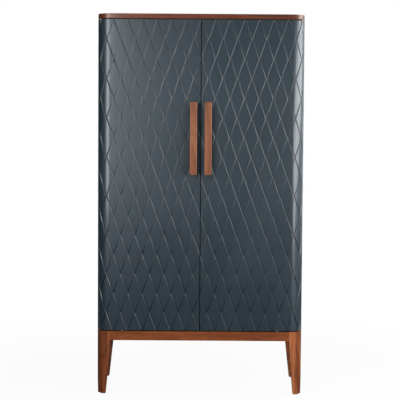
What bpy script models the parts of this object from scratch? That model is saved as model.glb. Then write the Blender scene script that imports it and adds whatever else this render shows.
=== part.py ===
"""Two-door storage cabinet on a walnut base, built as separate pieces.

The doors are grooved with a diamond pattern, bent round the front corners and hung on
pivot pins hidden in their rounded back edges. Behind them stands a carcass of panels
with a fixed shelf and two loose ones, on a frame of rails, braces and four tapered legs.
Metres, +Z up, front towards -Y. The origin is at the centre of the bounding box's base.
"""

import math

import bmesh
import bpy
from mathutils import Matrix, Vector

# Overall sizes
WIDTH = 1.000
DEPTH = 0.450
HEIGHT = 1.845
CORNER_RADIUS = 0.060
CORNER_SEGMENTS = 8

# Gaps and fits
FIT = 0.0003
OVERCUT = 0.001
DOOR_REVEAL = 0.005
CENTRE_GAP = 0.004
NOSE_GAP = 0.003
DOOR_STANDOFF = 0.003

# Walnut top and base
SLAB_THICKNESS = 0.023
BASE_HEIGHT = 0.309
RAIL_HEIGHT = 0.044
RAIL_THICKNESS = 0.022
FRONT_LEG_WIDTH = 0.065
FRONT_LEG_TAPER = 0.023
REAR_LEG_WIDTH = 0.057
REAR_LEG_TAPER = 0.029
GLIDE_HEIGHT = 0.002
GLIDE_RADIUS = 0.007
GLIDE_PLACE = 0.4
BRACE_THICKNESS = 0.018
BRACE_HEIGHT = 0.036
BRACE_SEAT = 0.007
CROSS_BRACE_WIDTH = 0.022
CROSS_BRACE_HEIGHT = 0.040

# Carcass panels and shelves
SIDE_THICKNESS = 0.020
SIDE_CHAMFER = 0.002
PANEL_THICKNESS = 0.018
BACK_THICKNESS = 0.006
BACK_REBATE = 0.012
SHELF_THICKNESS = 0.018
SHELF_SIDE_GAP = 0.001
SHELF_SETBACK = 0.004
PIN_HOLE_PITCH = 0.032
PIN_HOLES_PER_SHELF = 3
PIN_HOLE_INSET = 0.060
SHELF_PIN_RADIUS = 0.0025
SHELF_PIN_DEPTH = 0.009
SHELF_PIN_REACH = 0.008

# Doors and their grooves
DOOR_THICKNESS = 0.022
NOSE_ANGLE = math.radians(82.0)
NOSE_FLAT = 0.002
NOSE_SEGMENTS = 4
PATTERN_HALF_WIDTH = 0.035
PATTERN_HALF_HEIGHT = 0.0942
GROOVE_WIDTH = 0.0045
GROOVE_DEPTH = 0.0018

# Door pivots
PIVOT_RADIUS = 0.004
PIVOT_DOOR_LENGTH = 0.030
PIVOT_BUSH_LENGTH = 0.012
BUSH_RADIUS = 0.0065
FLANGE_RADIUS = 0.009
FLANGE_THICKNESS = 0.001
COLLAR_RADIUS = 0.007

# Handles
HANDLE_LENGTH = 0.350
HANDLE_WIDTH = 0.034
HANDLE_THICKNESS = 0.014
HANDLE_STANDOFF = 0.020
HANDLE_CHAMFER = 0.002
HANDLE_BASE = 1.072
HANDLE_OFFSET = 0.0352
POST_RADIUS = 0.006
POST_INSET = 0.055
SPIGOT_RADIUS = 0.002
SPIGOT_BITE = 0.009
SPIGOT_TAIL = 0.003

# Catches
CATCH_OFFSET = 0.050
CATCH_WIDTH = 0.046
CATCH_HEIGHT = 0.014
CATCH_DEPTH = 0.030
CATCH_LIP = 0.002
STRIKE_WIDTH = 0.036
STRIKE_HEIGHT = 0.012
STRIKE_THICKNESS = 0.0014

# Leg bolts
BOLT_RADIUS = 0.004
BOLT_BITE = 0.026
BOLT_TAIL = 0.004
NUT_RADIUS = 0.0075
NUT_HEIGHT = 0.0065
NUT_SIDES = 6
HOLE_SIDES = 8
ROUND_SIDES = 16

# Places that follow from the sizes
SIDES = {"left": -1, "right": 1}
ENDS = {"front": -1, "rear": 1}
SHELVES = ("lower", "middle", "upper")
FIXED_SHELF = "middle"
UP = (0.0, 0.0, 1.0)
DOWN = (0.0, 0.0, -1.0)
FORWARD = (0.0, -1.0, 0.0)
BACKWARD = (0.0, 1.0, 0.0)
HALF_WIDTH = WIDTH / 2
HANDLE_REACH = HANDLE_STANDOFF + HANDLE_THICKNESS
FRONT = (HANDLE_REACH - DEPTH) / 2
BACK = FRONT + DEPTH
SLAB_BOTTOM = HEIGHT - SLAB_THICKNESS
DOOR_TOP = SLAB_BOTTOM - DOOR_REVEAL
DOOR_BOTTOM = BASE_HEIGHT + DOOR_REVEAL
RAIL_BOTTOM = BASE_HEIGHT - RAIL_HEIGHT
ARC_X = HALF_WIDTH - CORNER_RADIUS
ARC_Y = FRONT + CORNER_RADIUS
NOSE_RADIUS = DOOR_THICKNESS / 2
PIVOT_X = ARC_X + (CORNER_RADIUS - NOSE_RADIUS) * math.sin(NOSE_ANGLE)
PIVOT_Y = ARC_Y - (CORNER_RADIUS - NOSE_RADIUS) * math.cos(NOSE_ANGLE)
SIDE_FRONT = PIVOT_Y + NOSE_RADIUS + NOSE_GAP
SIDE_INNER = HALF_WIDTH - SIDE_THICKNESS
PANEL_FRONT = FRONT + DOOR_THICKNESS + DOOR_STANDOFF
PANEL_BACK = BACK - BACK_THICKNESS - FIT
CARCASS_BOTTOM = BASE_HEIGHT + FIT
CARCASS_TOP = SLAB_BOTTOM - FIT
INNER_BOTTOM = CARCASS_BOTTOM + PANEL_THICKNESS
INNER_TOP = CARCASS_TOP - PANEL_THICKNESS
PIN_ROWS = {"front": PANEL_FRONT + PIN_HOLE_INSET, "rear": PANEL_BACK - PIN_HOLE_INSET}
POST_HEIGHTS = {"lower": HANDLE_BASE + POST_INSET, "upper": HANDLE_BASE + HANDLE_LENGTH - POST_INSET}

# Finishes: colour, roughness and metallic value
FINISHES = {
    "lacquer": ((0.062, 0.076, 0.093), 0.38, 0.0),
    "walnut": ((0.205, 0.080, 0.042), 0.45, 0.0),
    "board": ((0.100, 0.108, 0.118), 0.55, 0.0),
    "beech": ((0.560, 0.390, 0.230), 0.60, 0.0),
    "steel": ((0.560, 0.570, 0.580), 0.32, 1.0),
    "bronze": ((0.450, 0.300, 0.160), 0.35, 1.0),
    "plastic": ((0.050, 0.050, 0.055), 0.50, 0.0),
}


def reset_scene():
    """Remove every object, so that the file holds only the cabinet."""
    for old in list(bpy.data.objects):
        bpy.data.objects.remove(old, do_unlink=True)


def new_collection(name):
    collection = bpy.data.collections.new(name)
    bpy.context.scene.collection.children.link(collection)
    return collection


def new_material(name, finish):
    colour, roughness, metallic = FINISHES[finish]
    material = bpy.data.materials.new(name)
    material.use_nodes = True
    shader = material.node_tree.nodes["Principled BSDF"]
    shader.inputs["Base Color"].default_value = (*colour, 1.0)
    shader.inputs["Roughness"].default_value = roughness
    shader.inputs["Metallic"].default_value = metallic
    material.diffuse_color = (*colour, 1.0)
    return material


def add_part(name, mesh, finish):
    """Make a named part of a mesh, with a material of its own."""
    part = bpy.data.objects.new(name, mesh)
    PARTS.objects.link(part)
    mesh.materials.clear()
    mesh.materials.append(new_material(name + "_finish", finish))
    return part


def add_copies(names, mesh, places, finish):
    """Make a part of the same mesh at each place, each an object of its own."""
    mesh.materials.clear()
    mesh.materials.append(new_material(mesh.name + "_finish", finish))
    copies = []
    for name, place in zip(names, places):
        copy = bpy.data.objects.new(name, mesh)
        PARTS.objects.link(copy)
        copy.matrix_world = place
        copies.append(copy)
    return copies


def add_helper(name, mesh):
    """Make an object that only shapes another and is removed after use."""
    helper = bpy.data.objects.new(name, mesh)
    bpy.context.scene.collection.objects.link(helper)
    return helper


def remove_objects(objects):
    for spare in objects:
        bpy.data.objects.remove(spare, do_unlink=True)


def add_cutter(name, mesh):
    cutter = bpy.data.objects.new(name, mesh)
    CUTTERS.objects.link(cutter)
    cutter.hide_render = True
    cutter.display_type = "WIRE"
    return cutter


def boolean(part, cutter, operation="DIFFERENCE"):
    modifier = part.modifiers.new(cutter.name, "BOOLEAN")
    modifier.operation = operation
    modifier.object = cutter
    modifier.solver = "EXACT"


def evaluated_mesh(part):
    """Return a new mesh of the part as its modifiers make it."""
    bpy.context.view_layer.update()
    graph = bpy.context.evaluated_depsgraph_get()
    return bpy.data.meshes.new_from_object(part.evaluated_get(graph))


def finish_mesh(bm, name):
    """Turn a bmesh into a mesh whose faces point outwards."""
    bmesh.ops.recalc_face_normals(bm, faces=bm.faces)
    mesh = bpy.data.meshes.new(name)
    bm.to_mesh(mesh)
    bm.free()
    return mesh


def shade_round(part, angle=30.0):
    part.data.shade_smooth()
    part.data.set_sharp_from_angle(angle=math.radians(angle))


def add_box(bm, low, high):
    """Add a box between two corners to a bmesh."""
    low, high = Vector(low), Vector(high)
    place = Matrix.Translation((low + high) / 2) @ Matrix.Diagonal((*(high - low), 1.0))
    bmesh.ops.create_cube(bm, size=1.0, matrix=place)


def box_mesh(name, low, high):
    bm = bmesh.new()
    add_box(bm, low, high)
    return finish_mesh(bm, name)


def axis_matrix(start, direction):
    """Return the matrix that puts local +Z along a direction from a start point."""
    turn = Vector(direction).to_track_quat("Z", "Y").to_matrix().to_4x4()
    return Matrix.Translation(Vector(start)) @ turn


def add_rod(bm, start, direction, length, radius, sides):
    """Add a round bar that runs from start along direction to a bmesh."""
    place = axis_matrix(start, direction) @ Matrix.Translation((0.0, 0.0, length / 2))
    bmesh.ops.create_cone(bm, cap_ends=True, segments=sides, radius1=radius, radius2=radius,
                          depth=length, matrix=place)


def rods_mesh(name, rods, sides):
    """Return one mesh of several rods, each a start, direction, length and radius."""
    bm = bmesh.new()
    for start, direction, length, radius in rods:
        add_rod(bm, start, direction, length, radius, sides)
    return finish_mesh(bm, name)


def drill(part, holes, sides=HOLE_SIDES):
    """Cut round holes, each a start, direction, depth and radius, out of a part."""
    name = f"{part.name}_holes_{sides}"
    boolean(part, add_cutter(name, rods_mesh(name, holes, sides)))


def turned_mesh(name, profile, sides):
    """Turn a profile of (radius, height) points, listed from the top down, about Z."""
    outline = bpy.data.meshes.new(name + "_profile")
    points = [(radius, 0.0, height) for radius, height in profile]
    outline.from_pydata(points, [(i, i + 1) for i in range(len(points) - 1)], [])
    blank = add_helper(name + "_blank", outline)
    screw = blank.modifiers.new("Turn", "SCREW")
    screw.axis = "Z"
    screw.steps = sides
    screw.render_steps = sides
    screw.use_merge_vertices = True
    screw.merge_threshold = 0.00001
    mesh = evaluated_mesh(blank)
    remove_objects([blank])
    bm = bmesh.new()
    bm.from_mesh(mesh)
    bpy.data.meshes.remove(mesh)
    bmesh.ops.remove_doubles(bm, verts=bm.verts, dist=0.00001)
    return finish_mesh(bm, name)


def outline_mesh(name, points, low, high):
    """Extrude a closed outline of (x, y) points between two heights."""
    curve = bpy.data.curves.new(name + "_outline", "CURVE")
    curve.dimensions = "2D"
    curve.fill_mode = "BOTH"
    curve.extrude = (high - low) / 2
    spline = curve.splines.new("POLY")
    spline.points.add(len(points) - 1)
    for point, (x, y) in zip(spline.points, points):
        point.co = (x, y, 0.0, 1.0)
    spline.use_cyclic_u = True
    guide = add_helper(name + "_outline", curve)
    flat = evaluated_mesh(guide)
    remove_objects([guide])
    bm = bmesh.new()
    bm.from_mesh(flat)
    bpy.data.meshes.remove(flat)
    bmesh.ops.remove_doubles(bm, verts=bm.verts, dist=0.00001)
    bmesh.ops.translate(bm, verts=bm.verts, vec=(0.0, 0.0, (low + high) / 2))
    return finish_mesh(bm, name)


def rounded_plan_mesh(name, low, high):
    """Return the cabinet's plan, with its rounded front corners, between two heights."""
    bm = bmesh.new()
    add_box(bm, (-HALF_WIDTH, FRONT, low), (HALF_WIDTH, BACK, high))
    corners = []
    for edge in bm.edges:
        a, b = (vert.co for vert in edge.verts)
        upright = abs(a.z - b.z) > (high - low) / 2
        if upright and a.y < (FRONT + BACK) / 2:
            corners.append(edge)
    bmesh.ops.bevel(bm, geom=corners, offset=CORNER_RADIUS, segments=CORNER_SEGMENTS,
                    profile=0.5, affect="EDGES")
    return finish_mesh(bm, name)


def arc_points(centre, radius, start, end, segments):
    """Return points on an arc, by angle from +X towards +Y."""
    angles = [start + (end - start) * i / segments for i in range(segments + 1)]
    return [(centre[0] + radius * math.cos(a), centre[1] + radius * math.sin(a)) for a in angles]


def seat_on_pivot(pivot, part):
    """Give a part its pivot as parent, with the part's origin on the pivot's axis."""
    part.data.transform(Matrix.Translation(-pivot.location))
    part.parent = pivot


# Walnut top

def bush_socket(side, face_height, direction):
    """Return the hole for a pivot bush, from a level face up (1) or down (-1)."""
    start = (side * PIVOT_X, PIVOT_Y, face_height - direction * OVERCUT)
    return start, (0.0, 0.0, direction), PIVOT_BUSH_LENGTH + OVERCUT + 2 * FIT, BUSH_RADIUS + FIT


def make_top_slab():
    slab = add_part("top_slab", rounded_plan_mesh("top_slab", SLAB_BOTTOM, HEIGHT), "walnut")
    drill(slab, [bush_socket(side, SLAB_BOTTOM, 1.0) for side in SIDES.values()], ROUND_SIDES)


# Base frame of legs, rails and braces

def leg_sizes(end):
    """Return a leg's width beside the rails and how far its inner faces taper."""
    if end < 0:
        return FRONT_LEG_WIDTH, FRONT_LEG_TAPER
    return REAR_LEG_WIDTH, REAR_LEG_TAPER


def leg_corner(side, end):
    """Return the place of a leg's inner corner beside the rails."""
    width, _ = leg_sizes(end)
    outer_y = FRONT if end < 0 else BACK
    return Vector((side * (HALF_WIDTH - width), outer_y - end * width, 0.0))


def brace_matrix(side, end):
    """Return a frame on a leg's inner corner, with +X pointing into the cabinet."""
    corner = leg_corner(side, end)
    corner.z = BASE_HEIGHT - BRACE_HEIGHT / 2 - FIT
    return Matrix.Translation(corner) @ Matrix.Rotation(math.atan2(-end, -side), 4, "Z")


def tapered_leg_mesh(name, side, end):
    """Return a square leg whose two inner faces taper from the rail down to the foot."""
    inner = leg_corner(side, end)
    _, taper = leg_sizes(end)
    outer = Vector((side * HALF_WIDTH, FRONT if end < 0 else BACK, 0.0))
    bm = bmesh.new()
    low = (min(inner.x, outer.x), min(inner.y, outer.y), GLIDE_HEIGHT + FIT)
    high = (max(inner.x, outer.x), max(inner.y, outer.y), BASE_HEIGHT)
    add_box(bm, low, high)
    bmesh.ops.bisect_plane(bm, geom=bm.verts[:] + bm.edges[:] + bm.faces[:],
                           plane_co=(0.0, 0.0, RAIL_BOTTOM), plane_no=UP)
    for vert in bm.verts:
        at_foot = vert.co.z < RAIL_BOTTOM / 2
        if at_foot and abs(vert.co.x - inner.x) < FIT:
            vert.co.x += side * taper
        if at_foot and abs(vert.co.y - inner.y) < FIT:
            vert.co.y += end * taper
    return finish_mesh(bm, name)


def leg_bolt_hole(side, end):
    """Return the hole for a leg bolt, from behind the brace out into the leg."""
    frame = brace_matrix(side, end)
    tail = BRACE_THICKNESS - BRACE_SEAT + FIT + OVERCUT
    start = frame @ Vector((tail, 0.0, 0.0))
    direction = frame.to_3x3() @ Vector((-1.0, 0.0, 0.0))
    return start, direction, tail + BRACE_SEAT + BOLT_BITE + FIT, BOLT_RADIUS + FIT


def seat_cutter(name, side, end):
    """Return a block that cuts the leg's inner corner flat beside the rails."""
    frame = brace_matrix(side, end)
    frame.translation.z = 0.0
    bm = bmesh.new()
    add_box(bm, (-BRACE_SEAT, -FRONT_LEG_WIDTH, RAIL_BOTTOM),
            (FRONT_LEG_WIDTH, FRONT_LEG_WIDTH, BASE_HEIGHT + OVERCUT))
    bmesh.ops.transform(bm, matrix=frame, verts=bm.verts)
    return add_cutter(name, finish_mesh(bm, name))


def make_legs():
    envelope = add_cutter("plan_envelope", rounded_plan_mesh("plan_envelope", -OVERCUT, HEIGHT))
    for side_name, side in SIDES.items():
        for end_name, end in ENDS.items():
            name = f"{end_name}_{side_name}_leg"
            leg = add_part(name, tapered_leg_mesh(name, side, end), "walnut")
            boolean(leg, seat_cutter(name + "_seat", side, end))
            drill(leg, [leg_bolt_hole(side, end)])
            if end < 0:
                boolean(leg, envelope, "INTERSECT")
                drill(leg, [bush_socket(side, BASE_HEIGHT, -1.0)], ROUND_SIDES)


def make_rails():
    front_x = HALF_WIDTH - FRONT_LEG_WIDTH - FIT
    rear_x = HALF_WIDTH - REAR_LEG_WIDTH - FIT
    side_low = FRONT + FRONT_LEG_WIDTH + FIT
    side_high = BACK - REAR_LEG_WIDTH - FIT
    inner_x = HALF_WIDTH - RAIL_THICKNESS
    spans = {
        "front_rail": (-front_x, FRONT, front_x, FRONT + RAIL_THICKNESS),
        "back_rail": (-rear_x, BACK - RAIL_THICKNESS, rear_x, BACK),
        "left_rail": (-HALF_WIDTH, side_low, -inner_x, side_high),
        "right_rail": (inner_x, side_low, HALF_WIDTH, side_high),
    }
    for name, (x0, y0, x1, y1) in spans.items():
        add_part(name, box_mesh(name, (x0, y0, RAIL_BOTTOM), (x1, y1, BASE_HEIGHT)), "walnut")
    low = (-CROSS_BRACE_WIDTH / 2, FRONT + RAIL_THICKNESS + FIT, BASE_HEIGHT - CROSS_BRACE_HEIGHT)
    high = (CROSS_BRACE_WIDTH / 2, BACK - RAIL_THICKNESS - FIT, BASE_HEIGHT)
    add_part("cross_brace", box_mesh("cross_brace", low, high), "beech")


def make_corner_braces():
    """Make the four diagonal blocks that draw the legs into the corners of the rails."""
    near = FIT - BRACE_SEAT
    far = near + BRACE_THICKNESS
    for side_name, side in SIDES.items():
        for end_name, end in ENDS.items():
            width, _ = leg_sizes(end)
            reach = (width - RAIL_THICKNESS - FIT) * math.sqrt(2)
            outline = [(near, -reach - near), (far, -reach - far), (far, reach + far), (near, reach + near)]
            name = f"{end_name}_{side_name}_brace"
            mesh = outline_mesh(name, outline, -BRACE_HEIGHT / 2, BRACE_HEIGHT / 2)
            mesh.transform(brace_matrix(side, end))
            drill(add_part(name, mesh, "beech"), [leg_bolt_hole(side, end)])


def leg_bolt_mesh():
    """Return a bolt along +Z with its nut, from its end in the leg to its tail."""
    nut_base = BOLT_BITE + BRACE_THICKNESS + 2 * FIT
    shank = ((0.0, 0.0, 0.0), UP, nut_base + NUT_HEIGHT + BOLT_TAIL, BOLT_RADIUS)
    head = ((0.0, 0.0, nut_base), UP, NUT_HEIGHT, NUT_RADIUS)
    nut = add_helper("nut", rods_mesh("nut", [head], NUT_SIDES))
    bolt = add_helper("bolt", rods_mesh("bolt", [shank], HOLE_SIDES))
    boolean(bolt, nut, "UNION")
    joined = evaluated_mesh(bolt)
    remove_objects([nut, bolt])
    joined.name = "leg_bolt"
    return joined


def make_leg_bolts():
    """Make the bolts that draw the legs against the braces, each with its nut."""
    names, places = [], []
    for side_name, side in SIDES.items():
        for end_name, end in ENDS.items():
            frame = brace_matrix(side, end)
            start = frame @ Vector((-BRACE_SEAT - BOLT_BITE, 0.0, 0.0))
            names.append(f"{end_name}_{side_name}_leg_bolt")
            places.append(axis_matrix(start, frame.to_3x3() @ Vector((1.0, 0.0, 0.0))))
    add_copies(names, leg_bolt_mesh(), places, "steel")


def make_glides():
    names, places = [], []
    for side_name, side in SIDES.items():
        for end_name, end in ENDS.items():
            width, taper = leg_sizes(end)
            corner = leg_corner(side, end)
            inset = taper + GLIDE_PLACE * (width - taper)
            names.append(f"{end_name}_{side_name}_glide")
            places.append(Matrix.Translation((corner.x + side * inset, corner.y + end * inset, 0.0)))
    disc = ((0.0, 0.0, 0.0), UP, GLIDE_HEIGHT, GLIDE_RADIUS)
    add_copies(names, rods_mesh("glide", [disc], ROUND_SIDES), places, "plastic")


# Carcass panels and shelves

def shelf_heights():
    """Return the height of each shelf's underside, spaced evenly between the panels."""
    clear = INNER_TOP - INNER_BOTTOM - len(SHELVES) * SHELF_THICKNESS
    bay = clear / (len(SHELVES) + 1)
    return {name: INNER_BOTTOM + bay * (i + 1) + SHELF_THICKNESS * i for i, name in enumerate(SHELVES)}


def pin_height(shelf_height):
    return shelf_height - SHELF_PIN_RADIUS - FIT


def pin_holes(side):
    """Return the rows of holes that let the loose shelves be set higher or lower."""
    holes = []
    for name, height in shelf_heights().items():
        if name == FIXED_SHELF:
            continue
        for row_y in PIN_ROWS.values():
            for step in range(PIN_HOLES_PER_SHELF):
                offset = (step - PIN_HOLES_PER_SHELF // 2) * PIN_HOLE_PITCH
                start = (side * (SIDE_INNER - OVERCUT), row_y, pin_height(height) + offset)
                holes.append((start, (float(side), 0.0, 0.0), SHELF_PIN_DEPTH + OVERCUT + FIT,
                              SHELF_PIN_RADIUS + FIT))
    return holes


def make_side_panels():
    rebate_x = SIDE_INNER + BACK_REBATE
    outline = [
        (SIDE_INNER, SIDE_FRONT),
        (HALF_WIDTH - SIDE_CHAMFER, SIDE_FRONT),
        (HALF_WIDTH, SIDE_FRONT + SIDE_CHAMFER),
        (HALF_WIDTH, BACK),
        (rebate_x, BACK),
        (rebate_x, PANEL_BACK),
        (SIDE_INNER, PANEL_BACK),
    ]
    for side_name, side in SIDES.items():
        name = side_name + "_side"
        mesh = outline_mesh(name, [(side * x, y) for x, y in outline], CARCASS_BOTTOM, CARCASS_TOP)
        drill(add_part(name, mesh, "lacquer"), pin_holes(side))


def level_panel_outline():
    """Return the outline of the top and bottom panels, with corners that clear the doors."""
    tongue_x = HALF_WIDTH - DOOR_THICKNESS - DOOR_STANDOFF
    radius = CORNER_RADIUS - DOOR_THICKNESS - DOOR_STANDOFF
    inner_x = SIDE_INNER - FIT
    centre = (tongue_x - radius, PANEL_FRONT + radius)
    right = arc_points(centre, radius, -math.pi / 2, 0.0, CORNER_SEGMENTS // 2)
    right += [(tongue_x, SIDE_FRONT), (inner_x, SIDE_FRONT), (inner_x, PANEL_BACK)]
    return right + [(-x, y) for x, y in reversed(right)]


def make_level_panels():
    for name, low in (("bottom_panel", CARCASS_BOTTOM), ("top_panel", INNER_TOP)):
        add_part(name, outline_mesh(name, level_panel_outline(), low, low + PANEL_THICKNESS), "board")


def make_back_panel():
    edge_x = SIDE_INNER + BACK_REBATE - FIT
    low = (-edge_x, BACK - BACK_THICKNESS, CARCASS_BOTTOM)
    add_part("back_panel", box_mesh("back_panel", low, (edge_x, BACK, CARCASS_TOP)), "board")


def make_shelves():
    """Make the fixed middle shelf, and the loose shelves on their pins."""
    names, places = [], []
    for name, height in shelf_heights().items():
        fixed = name == FIXED_SHELF
        gap = FIT if fixed else SHELF_SIDE_GAP
        low = (gap - SIDE_INNER, SIDE_FRONT + SHELF_SETBACK, height)
        high = (SIDE_INNER - gap, PANEL_BACK - gap, height + SHELF_THICKNESS)
        add_part(name + "_shelf", box_mesh(name + "_shelf", low, high), "board")
        if fixed:
            continue
        for side_name, side in SIDES.items():
            for row_name, row_y in PIN_ROWS.items():
                names.append(f"{name}_{row_name}_{side_name}_pin")
                start = (side * (SIDE_INNER + SHELF_PIN_DEPTH), row_y, pin_height(height))
                places.append(axis_matrix(start, (-float(side), 0.0, 0.0)))
    rod = ((0.0, 0.0, 0.0), UP, SHELF_PIN_DEPTH + SHELF_PIN_REACH, SHELF_PIN_RADIUS)
    add_copies(names, rods_mesh("shelf_pin", [rod], HOLE_SIDES), places, "steel")


# Doors

def bend_stations():
    """Return the distances along a door's face at which its bend's facets meet."""
    sweep = CORNER_RADIUS * NOSE_ANGLE
    return [ARC_X + sweep * i / CORNER_SEGMENTS for i in range(CORNER_SEGMENTS + 1)]


def flat_door():
    """Return a flat door, with X along its face from the middle and Y into its thickness."""
    nose = bend_stations()[-1] + NOSE_RADIUS
    bm = bmesh.new()
    add_box(bm, (CENTRE_GAP / 2, 0.0, DOOR_BOTTOM), (nose, DOOR_THICKNESS, DOOR_TOP))
    edges = [edge for edge in bm.edges if all(vert.co.x > nose - FIT for vert in edge.verts)
             and abs(edge.verts[0].co.z - edge.verts[1].co.z) > FIT]
    bmesh.ops.bevel(bm, geom=edges, offset=NOSE_RADIUS - NOSE_FLAT / 2, segments=NOSE_SEGMENTS,
                    profile=0.5, affect="EDGES")
    return add_helper("flat_door", finish_mesh(bm, "flat_door"))


def add_wedge(bm, start, direction, length):
    """Add a V-shaped bar, with its edge GROOVE_DEPTH below the face and its back above it."""
    across = Vector(BACKWARD).cross(direction)
    wedge = bmesh.ops.create_cone(bm, cap_ends=True, segments=3, radius1=1.0, radius2=1.0,
                                  depth=length)["verts"]
    apex_y = max(vert.co.y for vert in wedge)
    for vert in wedge:
        along = start + direction * (vert.co.z + length / 2)
        if vert.co.y > apex_y - 0.1:
            vert.co = along + Vector((0.0, GROOVE_DEPTH, 0.0))
        else:
            sideways = across * math.copysign(GROOVE_WIDTH, vert.co.x)
            vert.co = along + sideways - Vector((0.0, GROOVE_DEPTH, 0.0))


def groove_cutter(name, slope):
    """Return the cutters of the grooves that fall to the right (1) or to the left (-1)."""
    drop = DOOR_TOP - DOOR_BOTTOM
    run = PATTERN_HALF_WIDTH / PATTERN_HALF_HEIGHT * drop
    nose = bend_stations()[-1] + NOSE_RADIUS
    direction = Vector((slope * PATTERN_HALF_WIDTH, 0.0, -PATTERN_HALF_HEIGHT)).normalized()
    pitch = 2 * PATTERN_HALF_WIDTH
    first, last = (-run, nose) if slope > 0 else (0.0, nose + run)
    overrun = PATTERN_HALF_HEIGHT
    bm = bmesh.new()
    for step in range(math.ceil(first / pitch), math.floor(last / pitch) + 1):
        start = Vector((step * pitch, 0.0, DOOR_TOP)) - direction * overrun
        add_wedge(bm, start, direction, drop / -direction.z + 2 * overrun)
    return add_helper(name, finish_mesh(bm, name))


def bent_place(along, depth):
    """Return the plan place of a point on the flat door, bent in facets round the corner."""
    stations = bend_stations()
    radius = CORNER_RADIUS - depth
    if along <= stations[0]:
        return along, FRONT + depth
    if along >= stations[-1]:
        normal = Vector((math.sin(NOSE_ANGLE), -math.cos(NOSE_ANGLE)))
        tangent = Vector((math.cos(NOSE_ANGLE), math.sin(NOSE_ANGLE)))
        place = normal * radius + tangent * (along - stations[-1])
    else:
        facet = (stations[-1] - stations[0]) / CORNER_SEGMENTS
        index = min(int((along - stations[0]) / facet), CORNER_SEGMENTS - 1)
        angles = [NOSE_ANGLE * (index + i) / CORNER_SEGMENTS for i in (0, 1)]
        near, far = (Vector((math.sin(a), -math.cos(a))) for a in angles)
        place = near.lerp(far, (along - stations[index]) / facet) * radius
    return ARC_X + place.x, ARC_Y + place.y


def grooved_door_mesh():
    """Groove a flat door in both directions, then bend it into the right-hand door."""
    blank = flat_door()
    cutters = [groove_cutter("grooves_falling", 1), groove_cutter("grooves_rising", -1)]
    for cutter in cutters:
        boolean(blank, cutter)
    flat = evaluated_mesh(blank)
    remove_objects([blank] + cutters)
    bm = bmesh.new()
    bm.from_mesh(flat)
    bpy.data.meshes.remove(flat)
    for station in bend_stations():
        bmesh.ops.bisect_plane(bm, geom=bm.verts[:] + bm.edges[:] + bm.faces[:], dist=0.000001,
                               plane_co=(station, 0.0, 0.0), plane_no=(1.0, 0.0, 0.0))
    bmesh.ops.remove_doubles(bm, verts=bm.verts, dist=0.00002)
    bmesh.ops.triangulate(bm, faces=bm.faces[:])
    for vert in bm.verts:
        vert.co.x, vert.co.y = bent_place(vert.co.x, vert.co.y)
    return finish_mesh(bm, "right_door")


def pivot_place(side, height):
    return side * PIVOT_X, PIVOT_Y, height


def door_bores_mesh(name, side):
    """Return the holes in a door for its two pivot pins and the spigots of its handle."""
    depth = PIVOT_DOOR_LENGTH + OVERCUT + FIT
    through = DOOR_THICKNESS + 2 * OVERCUT
    bm = bmesh.new()
    for height, direction in ((DOOR_TOP, -1.0), (DOOR_BOTTOM, 1.0)):
        start = pivot_place(side, height - direction * OVERCUT)
        add_rod(bm, start, (0.0, 0.0, direction), depth, PIVOT_RADIUS + FIT, ROUND_SIDES)
    for height in POST_HEIGHTS.values():
        start = (side * HANDLE_OFFSET, FRONT - OVERCUT, height)
        add_rod(bm, start, BACKWARD, through, SPIGOT_RADIUS + FIT, HOLE_SIDES)
    return finish_mesh(bm, name)


def make_doors():
    """Make both doors and what turns with them, each on an empty at its pivot."""
    right_mesh = grooved_door_mesh()
    for side_name, side in SIDES.items():
        pivot = bpy.data.objects.new(side_name + "_door_pivot", None)
        pivot.location = pivot_place(side, 0.0)
        PARTS.objects.link(pivot)
        mesh = right_mesh.copy()
        if side < 0:
            mesh.transform(Matrix.Diagonal((-1.0, 1.0, 1.0, 1.0)))
            mesh.flip_normals()
        name = side_name + "_door"
        door = add_part(name, mesh, "lacquer")
        bores = add_cutter(name + "_bores", door_bores_mesh(name + "_bores", side))
        boolean(door, bores)
        parts = [door, make_strike(side_name, side)]
        parts += make_pivot_pins(side_name, side)
        parts += make_handle(side_name, side)
        for part in parts + [bores]:
            seat_on_pivot(pivot, part)


def make_pivot_pins(side_name, side):
    """Make a door's two pivot pins; the lower one has the collar that the door rests on."""
    reach = DOOR_REVEAL + PIVOT_BUSH_LENGTH
    collar_top = DOOR_REVEAL - FLANGE_THICKNESS - 2 * FIT
    shank = [(PIVOT_RADIUS, -PIVOT_DOOR_LENGTH), (0.0, -PIVOT_DOOR_LENGTH)]
    tip = [(0.0, reach), (PIVOT_RADIUS, reach)]
    collar = [
        (PIVOT_RADIUS, collar_top), (COLLAR_RADIUS, collar_top), (COLLAR_RADIUS, FIT), (PIVOT_RADIUS, FIT),
    ]
    pins = []
    for end_name, profile, height, direction in (("upper", tip + shank, DOOR_TOP, UP),
                                                 ("lower", tip + collar + shank, DOOR_BOTTOM, DOWN)):
        name = f"{side_name}_{end_name}_pivot"
        mesh = turned_mesh(name, profile, ROUND_SIDES)
        mesh.transform(axis_matrix(pivot_place(side, height), direction))
        pin = add_part(name, mesh, "steel")
        shade_round(pin)
        pins.append(pin)
    return pins


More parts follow.
